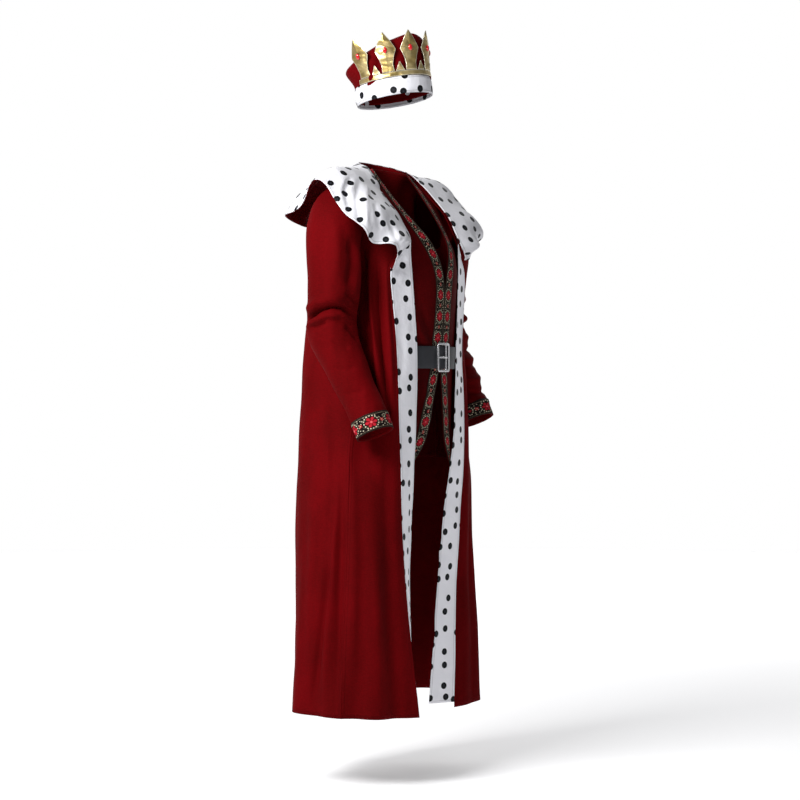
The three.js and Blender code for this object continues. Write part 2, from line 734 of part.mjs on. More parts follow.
function frontShoulderRows(side) {
  const low = frontRow(side, ARMPIT_HEIGHT, ARMHOLE.y);
  const line = (up) => {
    const point = pointAlong(NECKLINE, up);
    return point.setX(side * point.x);
  };
  const hole = (up) => armholePoint(side, up, -1);
  return shoulderRows(low, line, hole, SHOULDER_ROWS, SHOULDER_FADE);
}

// Top edge of the robe's back: shoulder seam, back neck, shoulder seam
function backTopPoint(i) {
  const across = (2 * i) / BACK_COLUMNS - 1;
  const side = Math.sign(across) || 1;
  const neckShare = NECK_COLUMNS / BACK_COLUMNS;
  const share = Math.abs(across);
  if (share <= neckShare) {
    const point = pointAlong(BACK_NECK, 1 - share / neckShare);
    return point.setX(side * point.x);
  }
  const neck = tablePoint(NECKLINE.at(-1), side);
  return neck.lerp(armholePoint(side, 1, 1), (share - neckShare) / (1 - neckShare));
}

function backShoulderRows() {
  const rows = [];
  for (let j = 0; j <= SHOULDER_ROWS; j += 1) {
    const up = j / SHOULDER_ROWS;
    const low = backRow(ARMPIT_HEIGHT, armholePoint(1, Math.min(up, 0.5), 1).y);
    const row = [];
    for (let i = 0; i <= BACK_COLUMNS; i += 1) {
      const across = (2 * i) / BACK_COLUMNS - 1;
      const round = smoothstep(Math.abs(across), BACK_ROUND_FROM, BACK_ROUND_TO);
      const point = shoulderPoint(low[i], backTopPoint(i), up, round);
      const end = across < 0 ? 0 : BACK_COLUMNS;
      const side = across < 0 ? -1 : 1;
      const edge = shoulderPoint(low[end], backTopPoint(end), up, 1);
      const toHole = armholePoint(side, up, 1).sub(edge);
      point.addScaledVector(toHole, Math.abs(across) ** BACK_HOLE_POWER);
      point.y += (SEAM_GAP / 2) * up;
      row.push(point);
    }
    rows.push(row);
  }
  return rows;
}

// Robe body: a back in one piece and two fronts, open down the middle
const backGrid = [...ROBE_LEVELS.map((height) => backRow(height)), ...backShoulderRows()];
const backNormals = normalsOf(backGrid, false, -1);
const lastLevel = ROBE_LEVELS.length - 1;
flatten(backNormals, 'y', (i, j) => (i === 0 || i === BACK_COLUMNS) && j <= lastLevel);
flatten(backNormals, 'y', (i, j) => {
  const share = Math.abs((2 * i) / BACK_COLUMNS - 1);
  return j === backGrid.length - 1 && share > (NECK_COLUMNS - 1) / BACK_COLUMNS;
});
add(costume, 'robe_back', wall(backGrid, moved(backGrid, backNormals, -CLOTH), false), WINE);

// Outward direction of a band, square to its width
function bandNormal(side, height) {
  const direction = bandDirection(side, height);
  return new THREE.Vector3(side * direction.y, -Math.abs(direction.x), 0);
}

for (const [side, name] of [[-1, 'right'], [1, 'left']]) {
  const grid = [...ROBE_LEVELS.map((height) => frontRow(side, height)), ...frontShoulderRows(side)];
  const normals = normalsOf(grid, false, side);
  flatten(normals, 'y', (i, j) => i === FRONT_COLUMNS && j <= lastLevel);
  flatten(normals, 'y', (i, j) => j === grid.length - 1);
  ROBE_LEVELS.forEach((height, j) => {
    normals[j][0].add(bandNormal(side, height)).normalize();
  });
  add(costume, `robe_front_${name}`, wall(grid, moved(grid, normals, -CLOTH), false), WINE);

  const band = ROBE_LEVELS.map((height) => {
    const edge = freeEdge(side, height);
    const seam = bandSeam(side, height, 0);
    return [0, 0.5, 1].map((across) => edge.clone().lerp(seam, across));
  });
  const bandNormals = ROBE_LEVELS.map((height, j) => {
    const normal = bandNormal(side, height);
    return [normal, normal, normals[j][0]];
  });
  add(costume, `front_band_${name}`, wall(band, moved(band, bandNormals, -CLOTH), false), WHITE_SATIN);
}

// Sleeves, and the woven cuffs laid on their ends
for (const [side, name] of [[-1, 'right'], [1, 'left']]) {
  const grid = sleeveGrid(side);
  const normals = normalsOf(grid, true, side);
  flatten(normals, 'x', (i, j) => j === 0);
  add(costume, `sleeve_${name}`, wall(grid, moved(grid, normals, -CLOTH), true), WINE);
  const cuff = grid.slice(-2);
  const cuffNormals = normals.slice(-2);
  const outer = moved(cuff, cuffNormals, LAID_GAP + TRIM);
  add(costume, `cuff_${name}`, wall(outer, moved(cuff, cuffNormals, LAID_GAP), true), JACQUARD);
}

// Cape collar: ruffled satin over a wine lining, sewn to the neckline and to the top of the bands
const neckSeam = [...[...BACK_NECK].reverse(), ...[...NECKLINE].reverse().slice(1)];
const capeSeam = neckSeam.map((row) => tablePoint(row, 1));
capeSeam.push(...CAPE_END_HEIGHTS.map((height) => bandSeam(1, height, 0)));
const capeSeamCurve = new THREE.CatmullRomCurve3(capeSeam, false, 'centripetal');

function capePoint(s, v) {
  const half = Math.abs(s);
  const row = rowAlong(CAPE_EDGE, half);
  const front = smoothstep(1 - half, 0, CAPE_TAPER);
  const lift = new THREE.Vector3(row.liftX, row.liftY, row.liftZ).normalize();
  const wave = row.wave * Math.cos(2 * Math.PI * CAPE_WAVES * half) * v ** CAPE_WAVE_POWER;
  const bulge = CAPE_BULGE * v ** CAPE_BULGE_POWER * (1 - v);
  const point = capeSeamCurve.getPoint(half).lerp(tablePoint(row, 1), v);
  const stand = CAPE_STAND + CAPE_END_STAND * smoothstep(half, CAPE_END_FROM, CAPE_END_TO);
  point.addScaledVector(lift, stand + front * (wave + bulge));
  return point.setX((Math.sign(s) || 1) * point.x);
}

const capeGrid = [];
for (let j = 0; j <= CAPE_ROWS; j += 1) {
  const row = [];
  for (let i = 0; i <= CAPE_COLUMNS; i += 1) {
    row.push(capePoint((2 * i) / CAPE_COLUMNS - 1, j / CAPE_ROWS));
  }
  capeGrid.push(row);
}
const capeNormals = normalsOf(capeGrid, false, 1);
const capeTop = moved(capeGrid, capeNormals, LAID_GAP / 2);
const capeUnder = moved(capeGrid, capeNormals, -LAID_GAP / 2);
add(costume, 'cape_top', wall(moved(capeTop, capeNormals, SATIN), capeTop, false), WHITE_SATIN);
add(costume, 'cape_lining', wall(capeUnder, moved(capeUnder, capeNormals, -SATIN), false), WINE);

// Waistcoat: level rows, with the woven trim's width measured off along the front edge
function vestRow(side, height, drop) {
  const ring = rowAt(VEST_RINGS, 'height', height);
  const from = angleAtX(ring, VEST_POWER, rowAt(VEST_RINGS, 'height', height - drop).gap);
  const to = angleAtY(ring, VEST_POWER, VEST_SIDE_Y - SEAM_GAP / 2);
  const curve = (t) => {
    const point = ringPoint(ring, VEST_POWER, lerp(from, to, t));
    return point.setX(side * point.x);
  };
  const row = measured(curve, (length) => {
    const places = [];
    for (let i = 0; i <= VEST_FRONT_COLUMNS; i += 1) {
      const trim = (VEST_TRIM_WIDTH * i) / VEST_TRIM_COLUMNS;
      const past = (i - VEST_TRIM_COLUMNS) / (VEST_FRONT_COLUMNS - VEST_TRIM_COLUMNS);
      places.push(past <= 0 ? trim : lerp(VEST_TRIM_WIDTH, length, past));
    }
    return places;
  });
  row.forEach((point, i) => {
    point.z -= drop * (1 - i / VEST_FRONT_COLUMNS) ** 2;
  });
  return row;
}

function vestBackRow(height) {
  const ring = rowAt(VEST_RINGS, 'height', height);
  const from = angleAtY(ring, VEST_POWER, VEST_SIDE_Y + SEAM_GAP / 2);
  return evenly((t) => {
    const point = ringPoint(ring, VEST_POWER, lerp(from, Math.PI / 2, 1 - Math.abs(2 * t - 1)));
    return point.setX((t < 0.5 ? -1 : 1) * point.x);
  }, VEST_BACK_COLUMNS);
}

// Shoulder seam of the waistcoat, under the robe's with room for the trim between them
function vestSeamPoint(side, x) {
  const neck = tablePoint(NECKLINE.at(-1), 1);
  const tip = armholePoint(1, 1, 1);
  const point = neck.lerp(tip, (x - neck.x) / (tip.x - neck.x));
  point.z -= VEST_SEAT;
  return point.setX(side * x);
}

function vestArmhole(side, up, towards, low) {
  const high = vestSeamPoint(side, VEST_TIP_X);
  const turn = up * Math.PI;
  const bulge = Math.sin(turn) * VEST_ARMHOLE_DEPTH * towards;
  return new THREE.Vector3(
    lerp(low.x, high.x, up),
    lerp(low.y, high.y, up) + bulge,
    lerp(low.z, high.z, (1 - Math.cos(turn)) / 2),
  );
}

function vestShoulderRows(side) {
  const low = vestRow(side, VEST_ARMPIT, 0);
  const top = VEST_NECKLINE.at(-1);
  const rise = vestSeamPoint(side, top.x).z - top.height;
  const line = (up) => {
    const point = pointAlong(VEST_NECKLINE, up);
    point.z += smoothstep(up, VEST_LINE_BEND, 1) * rise;
    return point.setX(side * point.x);
  };
  const hole = (up) => vestArmhole(side, up, -1, low[VEST_FRONT_COLUMNS]);
  return shoulderRows(low, line, hole, VEST_SHOULDER_ROWS, VEST_SHOULDER_FADE);
}

function vestTopPoint(i) {
  const across = (2 * i) / VEST_BACK_COLUMNS - 1;
  const side = Math.sign(across) || 1;
  const share = Math.abs(across);
  const neckShare = VEST_NECK_COLUMNS / VEST_BACK_COLUMNS;
  const past = Math.max(share - neckShare, 0) / (1 - neckShare);
  if (past > 0) {
    return vestSeamPoint(side, lerp(VEST_NECKLINE.at(-1).x, VEST_TIP_X, past));
  }
  const point = pointAlong(VEST_NAPE, 1 - share / neckShare);
  const high = vestSeamPoint(side, VEST_NECKLINE.at(-1).x).z;
  return new THREE.Vector3(side * point.x, point.y, high + point.z - VEST_NAPE[0].height);
}

function vestBackShoulderRows() {
  const low = vestBackRow(VEST_ARMPIT);
  const rows = [];
  for (let j = 0; j <= VEST_SHOULDER_ROWS; j += 1) {
    const up = j / VEST_SHOULDER_ROWS;
    const row = [];
    for (let i = 0; i <= VEST_BACK_COLUMNS; i += 1) {
      const across = (2 * i) / VEST_BACK_COLUMNS - 1;
      const side = across < 0 ? -1 : 1;
      const end = across < 0 ? 0 : VEST_BACK_COLUMNS;
      const round = smoothstep(Math.abs(across), BACK_ROUND_FROM, VEST_ROUND_TO);
      const point = shoulderPoint(low[i], vestTopPoint(i), up, round);
      const plain = shoulderPoint(low[end], vestTopPoint(end), up, 1);
      const toHole = vestArmhole(side, up, 1, low[end]).sub(plain);
      point.addScaledVector(toHole, Math.abs(across) ** VEST_HOLE_POWER);
      point.y += (SEAM_GAP / 2) * up;
      row.push(point);
    }
    rows.push(row);
  }
  return rows;
}

// Trim along one edge of a waistcoat panel, on the panel's own points
function addTrim(name, grid, normals) {
  const outer = moved(grid, normals, LAID_GAP + TRIM);
  add(costume, name, wall(outer, moved(grid, normals, LAID_GAP), false), JACQUARD);
}

const vestLast = VEST_LEVELS.length - 1;
const vestBack = [...VEST_LEVELS.map(vestBackRow), ...vestBackShoulderRows()];
const vestBackNormals = normalsOf(vestBack, false, -1);
const onNeck = (i) => Math.abs((2 * i) / VEST_BACK_COLUMNS - 1) <= VEST_NECK_COLUMNS / VEST_BACK_COLUMNS;
flatten(vestBackNormals, 'y', (i, j) => (i === 0 || i === VEST_BACK_COLUMNS) && j <= vestLast);
flatten(vestBackNormals, 'y', (i, j) => j === vestBack.length - 1 && !onNeck(i));
add(costume, 'vest_back', wall(vestBack, moved(vestBack, vestBackNormals, -CLOTH), false), WINE);
const napeStart = (VEST_BACK_COLUMNS - VEST_NECK_COLUMNS) / 2;
const napeColumns = (line) => line.slice(napeStart, napeStart + VEST_NECK_COLUMNS + 1);
addTrim('vest_trim_back', vestBack.slice(-2).map(napeColumns), vestBackNormals.slice(-2).map(napeColumns));

for (const [side, name] of [[-1, 'right'], [1, 'left']]) {
  const levels = VEST_LEVELS.map((height, j) => vestRow(side, height, j === 0 ? VEST_POINT_DROP : 0));
  const grid = [...levels, ...vestShoulderRows(side)];
  const normals = normalsOf(grid, false, side);
  flatten(normals, 'x', (i, j) => i === 0 && j <= vestLast);
  flatten(normals, 'y', (i, j) => i === VEST_FRONT_COLUMNS && j <= vestLast);
  flatten(normals, 'y', (i, j) => j === grid.length - 1);
  add(costume, `vest_front_${name}`, wall(grid, moved(grid, normals, -CLOTH), false), WINE);
  const edge = (line) => line.slice(0, VEST_TRIM_COLUMNS + 1);
  addTrim(`vest_trim_${name}`, grid.map(edge), normals.map(edge));
}

// Belt: a strap round the waist, starting at the middle of the front towards the wearer's left
const beltHeights = [BELT_MIDDLE - BELT_WIDTH / 2, BELT_MIDDLE + BELT_WIDTH / 2];

function waistPoint(turn, height) {
  const ring = rowAt(VEST_RINGS, 'height', height);
  const middle = (ring.back + ring.front) / 2;
  const deep = (ring.back - ring.front) / 2;
  return new THREE.Vector3(ring.half * Math.cos(turn), middle + deep * Math.sin(turn), height);
}

const beltLine = beltHeights.map((height) => Array.from({ length: BELT_STEPS }, (_, i) => (
  waistPoint((2 * Math.PI * i) / BELT_STEPS - Math.PI / 2, height)
)));
const beltNormals = normalsOf(beltLine, true, 1);
const beltInner = moved(beltLine, beltNormals, BELT_OFFSET);
const beltOuter = moved(beltInner, beltNormals, STRAP);
add(costume, 'belt_strap', wall(beltOuter, beltInner, true), BLACK_LEATHER);

const tongueLine = beltHeights.map((height) => Array.from({ length: TONGUE_STEPS + 1 }, (_, i) => {
  const x = lerp(TONGUE_START, TONGUE_END, i / TONGUE_STEPS);
  return waistPoint(Math.asin(x / rowAt(VEST_RINGS, 'height', height).half) - Math.PI / 2, height);
}));
const tongueNormals = normalsOf(tongueLine, false, 1);
const tongueInner = moved(tongueLine, tongueNormals, BELT_OFFSET + STRAP + TONGUE_GAP);
const tongueOuter = moved(tongueInner, tongueNormals, STRAP);
add(costume, 'belt_tongue', wall(tongueOuter, tongueInner, false), BLACK_LEATHER);

// Buckle: a frame with an inner bar, and a prong across it, flat against the strap
function roundedRectangle(halfX, halfY, corner) {
  const points = [];
  for (const [sideX, sideY, start] of [[1, 1, 0], [-1, 1, 90], [-1, -1, 180], [1, -1, 270]]) {
    for (let k = 0; k <= CORNER_STEPS; k += 1) {
      const turn = radians(start + (90 * k) / CORNER_STEPS);
      const x = sideX * (halfX - corner) + corner * Math.cos(turn);
      points.push(new THREE.Vector2(x, sideY * (halfY - corner) + corner * Math.sin(turn)));
    }
  }
  return points;
}

function rectangle(left, right, low, high) {
  const corners = [[left, low], [right, low], [right, high], [left, high]];
  return corners.map(([x, y]) => new THREE.Vector2(x, y));
}

const buckleOutline = roundedRectangle(BUCKLE_WIDTH / 2, BUCKLE_HEIGHT / 2, BUCKLE_CORNER);
const buckleShape = new THREE.Shape(buckleOutline);
const insideX = BUCKLE_WIDTH / 2 - BUCKLE_BAR;
const insideY = BUCKLE_HEIGHT / 2 - BUCKLE_BAR;
const slotY = insideY - SLOT_INSET;
const wideHole = rectangle(-insideX, BUCKLE_INNER_X - BUCKLE_BAR, -insideY, insideY);
const slot = rectangle(BUCKLE_INNER_X, insideX, -slotY, slotY);
buckleShape.holes.push(new THREE.Path(wideHole), new THREE.Path(slot));
const buckleBack = LAID_GAP - Math.min(...beltOuter.map((row) => row[0].y));
const frame = new THREE.ExtrudeGeometry(buckleShape, { depth: BUCKLE_DEPTH, bevelEnabled: false });
const buckle = new THREE.Group();
buckle.position.set(0, -buckleBack, BELT_MIDDLE);
buckle.rotation.x = Math.PI / 2;
costume.add(buckle);
add(buckle, 'buckle_frame', frame, SILVER);
const prongOutline = rectangle(-BUCKLE_WIDTH / 2, BUCKLE_INNER_X, -PRONG_HALF, PRONG_HALF);
const prongShape = new THREE.Shape(prongOutline);
const prong = add(buckle, 'buckle_prong', new THREE.ExtrudeGeometry(prongShape, PRONG_OPTIONS), SILVER);
prong.position.z = BUCKLE_DEPTH + LAID_GAP;

// Hat, built level about its own middle and then tilted: z counts up from its lower edge
const hat = new THREE.Group();
hat.position.z = HAT_HEIGHT;
hat.rotation.set(radians(-HAT_TILT), 0, radians(HAT_TURN), 'ZXY');
costume.add(hat);

// Point of the hat's ellipse, the angle in degrees counted from the front to the wearer's left
function hatPoint(angle, grow, up) {
  const turn = radians(angle - 90);
  return new THREE.Vector3(
    (HAT_HALF_WIDTH + grow) * Math.cos(turn),
    (HAT_HALF_LENGTH + grow) * Math.sin(turn),
    up,
  );
}

function hatRing(grow, up) {
  return Array.from({ length: HAT_COLUMNS }, (_, i) => hatPoint((360 * i) / HAT_COLUMNS, grow, up));
}

const bandOuter = [hatRing(0, 0), hatRing(0, HAT_BAND_HEIGHT)];
const bandInner = [hatRing(-HAT_BAND_WALL, 0), hatRing(-HAT_BAND_WALL, HAT_BAND_HEIGHT)];
add(hat, 'hat_band', wall(bandOuter, bandInner, true), WHITE_SATIN);

const capGrid = CAP_RINGS.map((ring) => {
  const row = [];
  const middle = (ring.back + ring.front) / 2;
  const deep = (ring.back - ring.front) / 2;
  for (let i = 0; i < HAT_COLUMNS; i += 1) {
    const turn = (2 * Math.PI * i) / HAT_COLUMNS - Math.PI / 2;
    const y = middle + deep * Math.sin(turn);
    row.push(new THREE.Vector3(ring.half * Math.cos(turn), y, ring.up - y * Math.tan(radians(ring.slope))));
  }
  return row;
});
const capNormals = normalsOf(capGrid, true, 1);
add(hat, 'hat_cap', dome(capGrid, moved(capGrid, capNormals, -CLOTH)), WINE);

// Crown: a strip on the band, tall points and small peaks standing on it, and a gem on each point
function crownPiece(angle, flare, outline, base) {
  const grid = outline.map((row) => {
    const up = row.up * Math.cos(radians(flare));
    const grow = row.up * Math.sin(radians(flare));
    return [-1, -0.5, 0, 0.5, 1].map((across) => {
      const turn = (across * row.half * 180) / (Math.PI * (HAT_HALF_WIDTH + grow + ARC_SLACK));
      const crease = row.crease * (1 - Math.abs(across));
      return hatPoint(angle + turn, grow + crease, base + up);
    });
  });
  const normals = normalsOf(grid, false, 1);
  flatten(normals, 'z', (i, j) => j === 0);
  return { geometry: wall(grid, moved(grid, normals, -CROWN_WALL), false), grid, normals };
}

const stripAngles = [];
for (let i = 0; i <= STRIP_STEPS; i += 1) {
  stripAngles.push(CROWN_END_ANGLE * ((2 * i) / STRIP_STEPS - 1));
}
const stripRows = [HAT_BAND_HEIGHT + LAID_GAP, CROWN_STRIP_TOP];
const stripOuter = stripRows.map((up) => stripAngles.map((angle) => hatPoint(angle, 0, up)));
const stripInner = stripRows.map((up) => stripAngles.map((angle) => hatPoint(angle, -CROWN_WALL, up)));
add(hat, 'crown_strip', wall(stripOuter, stripInner, false), GOLD_LAME);

const pointBase = CROWN_STRIP_TOP + LAID_GAP;
CROWN_POINTS.forEach(({ angle, flare }, k) => {
  const { geometry, grid, normals } = crownPiece(angle, flare, CROWN_OUTLINE, pointBase);
  add(hat, `crown_point_${k + 1}`, geometry, GOLD_LAME);
  const gem = add(hat, `gem_${k + 1}`, gemGeometry(), RED_GLASS);
  const middle = (grid[0].length - 1) / 2;
  const out = normals[GEM_ROW][middle];
  gem.position.copy(grid[GEM_ROW][middle]).addScaledVector(out, LAID_GAP);
  gem.quaternion.setFromRotationMatrix(new THREE.Matrix4().lookAt(out, new THREE.Vector3(), UP));
  if (k > 0) {
    const before = CROWN_POINTS[k - 1];
    const between = (before.angle + angle) / 2;
    const lean = (before.flare + flare) / 2;
    add(hat, `crown_peak_${k}`, crownPiece(between, lean, PEAK_OUTLINE, pointBase).geometry, GOLD_LAME);
  }
});

export default costume;
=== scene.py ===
import math

import bmesh
import bpy
import numpy as np
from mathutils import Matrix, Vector, kdtree, noise


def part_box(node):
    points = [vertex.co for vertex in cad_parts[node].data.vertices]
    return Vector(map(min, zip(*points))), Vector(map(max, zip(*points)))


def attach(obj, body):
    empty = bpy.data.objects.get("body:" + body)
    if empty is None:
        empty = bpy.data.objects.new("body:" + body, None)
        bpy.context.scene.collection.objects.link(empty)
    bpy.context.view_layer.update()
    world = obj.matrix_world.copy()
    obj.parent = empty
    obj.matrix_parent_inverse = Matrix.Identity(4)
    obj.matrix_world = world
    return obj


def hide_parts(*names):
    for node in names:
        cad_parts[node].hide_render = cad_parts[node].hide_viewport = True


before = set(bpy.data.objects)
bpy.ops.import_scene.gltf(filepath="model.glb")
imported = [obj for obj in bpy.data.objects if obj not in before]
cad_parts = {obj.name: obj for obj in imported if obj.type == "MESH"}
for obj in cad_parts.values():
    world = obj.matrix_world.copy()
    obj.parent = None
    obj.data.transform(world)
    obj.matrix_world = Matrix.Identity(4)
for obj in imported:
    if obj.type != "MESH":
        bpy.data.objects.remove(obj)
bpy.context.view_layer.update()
bpy.ops.object.select_all(action="DESELECT")

# Studio: a pale floor 1.54 m under the neckline, a large soft lamp high on the side of the right
# sleeve, a weaker one in front, one for the floor behind, and the camera near the belt's height.
FLOOR_Z = -1.54
FLOOR_RADIUS = 9
CAMERA_TURN = math.radians(-57)
CAMERA_DISTANCE = 6.0
CAMERA_Z = -0.591
CAMERA_SIDESTEP = 0.01275
LENS = 105.9
AWAY = Vector((math.sin(CAMERA_TURN), -math.cos(CAMERA_TURN), 0))
ASIDE = Vector((math.cos(CAMERA_TURN), math.sin(CAMERA_TURN), 0))

bpy.ops.mesh.primitive_circle_add(vertices=96, radius=FLOOR_RADIUS, fill_type="NGON",
                                  location=(0, 0, FLOOR_Z))
floor = bpy.context.object
floor.name = "floor"
floor_paint = bpy.data.materials.new("floor_paint")
floor_paint.use_nodes = True
paint = {"Base Color": (0.86, 0.86, 0.87, 1), "Roughness": 0.9, "Emission Color": (1, 1, 1, 1),
         "Emission Strength": 0.32}
for socket, value in paint.items():
    floor_paint.node_tree.nodes["Principled BSDF"].inputs[socket].default_value = value
floor.data.materials.append(floor_paint)

camera_place = AWAY * CAMERA_DISTANCE + ASIDE * CAMERA_SIDESTEP + Vector((0, 0, CAMERA_Z))
bpy.ops.object.camera_add(location=camera_place)
camera = bpy.context.object
camera.rotation_euler = (math.pi / 2, 0, CAMERA_TURN)
camera.data.lens = LENS
camera.data.sensor_width = 36
bpy.context.scene.camera = camera


def lamp(name, place, size, power, target=(0, 0, -0.6)):
    """A square soft lamp that shines towards its target."""
    bpy.ops.object.light_add(type="AREA", location=place)
    light = bpy.context.object
    light.name = name
    light.data.size = size
    light.data.energy = power
    light.visible_camera = False
    light.rotation_euler = (Vector(target) - Vector(place)).to_track_quat("-Z", "Y").to_euler()


lamp("key_lamp", AWAY * 1.8 - ASIDE * 1.45 + Vector((0, 0, 0.85)), 1.1, 102)
lamp("fill_lamp", AWAY * 1.6 + ASIDE * 1.6 + Vector((0, 0, 2.2)), 1.6, 6)
lamp("floor_lamp", AWAY * -6.5 + Vector((0, 0, 3.4)), 8.0, 400, AWAY * -7)


class Wire:
    """A shader value that works with Python's arithmetic."""

    def __init__(self, board, socket):
        self.board = board
        self.socket = socket

    def __add__(self, other):
        return self.board.math("ADD", self, other)

    def __sub__(self, other):
        return self.board.math("SUBTRACT", self, other)

    def __rsub__(self, other):
        return self.board.math("SUBTRACT", other, self)

    def __mul__(self, other):
        return self.board.math("MULTIPLY", self, other)

    def __truediv__(self, other):
        return self.board.math("DIVIDE", self, other)

    def __lt__(self, other):
        return self.board.math("LESS_THAN", self, other)

    def __gt__(self, other):
        return self.board.math("GREATER_THAN", self, other)

    def __abs__(self):
        return self.board.math("ABSOLUTE", self)

    __radd__ = __add__
    __rmul__ = __mul__


class Board:
    """A node tree and the few ways of adding nodes to it."""

    def __init__(self, tree):
        self.tree = tree

    def node(self, kind, settings, inputs, output=0):
        made = self.tree.nodes.new("ShaderNode" + kind)
        for key, value in settings.items():
            setattr(made, key, value)
        for key, value in inputs.items():
            if isinstance(value, Wire):
                self.tree.links.new(value.socket, made.inputs[key])
            else:
                made.inputs[key].default_value = value
        return Wire(self, made.outputs[output])

    def math(self, operation, first, second=0.0):
        return self.node("Math", {"operation": operation}, {0: first, 1: second})

    def mix(self, share, first, second):
        settings = {"data_type": "RGBA"}
        return self.node("Mix", settings, {0: share, 6: first, 7: second}, 2)

    def between(self, value, low, high):
        """Rises smoothly from 0 at low to 1 at high."""
        settings = {"interpolation_type": "SMOOTHSTEP"}
        return self.node("MapRange", settings, {0: value, 1: low, 2: high})

    def grain(self, place, scale, detail):
        return self.node("TexNoise", {}, {"Vector": place, "Scale": scale, "Detail": detail})

    def stretched(self, place, scale):
        return self.node("Mapping", {}, {"Vector": place, "Scale": scale})


# The room: a white backdrop behind the costume, dimmer walls at the other sides, a dark ceiling.
world = bpy.data.worlds.new("studio")
world.use_nodes = True
room = Board(world.node_tree)
way = room.node("TexCoord", {}, {}, "Generated")
behind = room.node("VectorMath", {"operation": "DOT_PRODUCT"}, {0: way, 1: -AWAY}, "Value")
height = room.node("SeparateXYZ", {}, {"Vector": way}, "Z")
walls = room.mix(room.between(behind, 0.3, 0.9), (0.24, 0.24, 0.245, 1), (1.0, 1.0, 1.0, 1))
glow = room.mix(room.between(height, 0.19, 0.34), walls, (0.12, 0.12, 0.125, 1))
room.tree.links.new(glow.socket, world.node_tree.nodes["Background"].inputs["Color"])
bpy.context.scene.world = world
bpy.context.scene.view_settings.view_transform = "Standard"


# Robe body: a back in one piece and two fronts of wine red velvet, sewn at the sides and the
# shoulders. It hangs open from the shoulders in long soft folds, pressed in beside the sleeves.
class Finish(Board):
    """A material with one shader, whose varying inputs are fed by nodes."""

    def __init__(self, name, constants):
        self.material = bpy.data.materials.new(name)
        self.material.use_nodes = True
        super().__init__(self.material.node_tree)
        self.shader = self.tree.nodes["Principled BSDF"]
        for socket, value in constants.items():
            self.shader.inputs[socket].default_value = value

    def feed(self, socket, value):
        self.tree.links.new(value.socket, self.shader.inputs[socket])

    def emboss(self, height, depth):
        inputs = {"Height": height, "Distance": depth, "Strength": 1.0}
        self.feed("Normal", self.node("Bump", {}, inputs))


def dye(red, green, blue):
    """Linear colour of a cloth's dye given as screen values up to 255."""
    return tuple((value / 255) ** 2.2 for value in (red, green, blue)) + (1,)


SEAM_INSET = 0.007


def velvet(name, lit, shaded):
    """Short ribbed pile: a soft sheen, patches where the nap lies another way, and a line of
    stitches along the edges."""
    tint = tuple(min(1, 2.5 * value) for value in lit[:3]) + (1,)
    cloth = Finish(name, {"Roughness": 0.85, "Specular IOR Level": 0.05, "Sheen Weight": 0.12,
                          "Sheen Roughness": 0.4, "Sheen Tint": tint})
    place = cloth.node("TexCoord", {}, {}, "Object")
    hanging = cloth.stretched(place, (14, 14, 2.2))
    nap = cloth.grain(place, 7, 3) * 0.55 + cloth.grain(hanging, 1, 3) * 0.45
    pile = cloth.grain(place, 1400, 2)
    ribs = cloth.grain(cloth.stretched(place, (110, 110, 420)), 1, 2)
    tone = cloth.between(nap, 0.36, 0.62) * 0.6 + cloth.between(ribs, 0.35, 0.65) * 0.28 + pile * 0.12
    edge = cloth.node("Attribute", {"attribute_name": "edge"}, {}, "Fac")
    seam = cloth.between(abs(edge - SEAM_INSET), 0.0016, 0.0004)
    deep = tuple(0.55 * value for value in shaded[:3]) + (1,)
    cloth.feed("Base Color", cloth.mix(seam * 0.25, cloth.mix(tone, shaded, lit), deep))
    cloth.emboss(pile * 0.3 + cloth.grain(place, 260, 3) * 0.7 - seam * 0.6, 0.0006)
    return cloth.material


WINE_VELVET = velvet("wine_velvet", dye(97, 5, 13), dye(77, 2, 8))
CLOTH = 0.0018
ROBE_MIDDLE = (0, 0, -0.7)
RIM_WIDTH = 0.0026
WELD = 0.00005


def outer_sheet(node, name, middle=ROBE_MIDDLE, rim=RIM_WIDTH, fold=math.pi):
    """A CAD cloth's face that looks away from a middle point, as the quads it was cut from. It is
    parted from the inner face by the rim's narrow triangles or by a sharp angle."""
    made = bmesh.new()
    made.from_mesh(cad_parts[node].data)
    bmesh.ops.remove_doubles(made, verts=made.verts, dist=WELD)
    made.faces.ensure_lookup_table()
    best, best_flow = [], -math.inf
    left = {f for f in made.faces if min(e.calc_length() for e in f.edges) > rim}
    while left:
        part = [left.pop()]
        for face in part:
            for edge in face.edges:
                for other in edge.link_faces:
                    if other in left and edge.calc_face_angle() < fold:
                        left.remove(other)
                        part.append(other)
        flow = sum((f.calc_center_median() - Vector(middle)).dot(f.normal) * f.calc_area()
                   for f in part)
        if flow > best_flow:
            best, best_flow = part, flow
    keep = set(best)
    bmesh.ops.delete(made, geom=[f for f in made.faces if f not in keep], context="FACES")
    regrid(made)
    piece = bpy.data.objects.new(name, bpy.data.meshes.new(name))
    made.to_mesh(piece.data)
    made.free()
    bpy.context.scene.collection.objects.link(piece)
    return piece


POLE_EDGES = 8


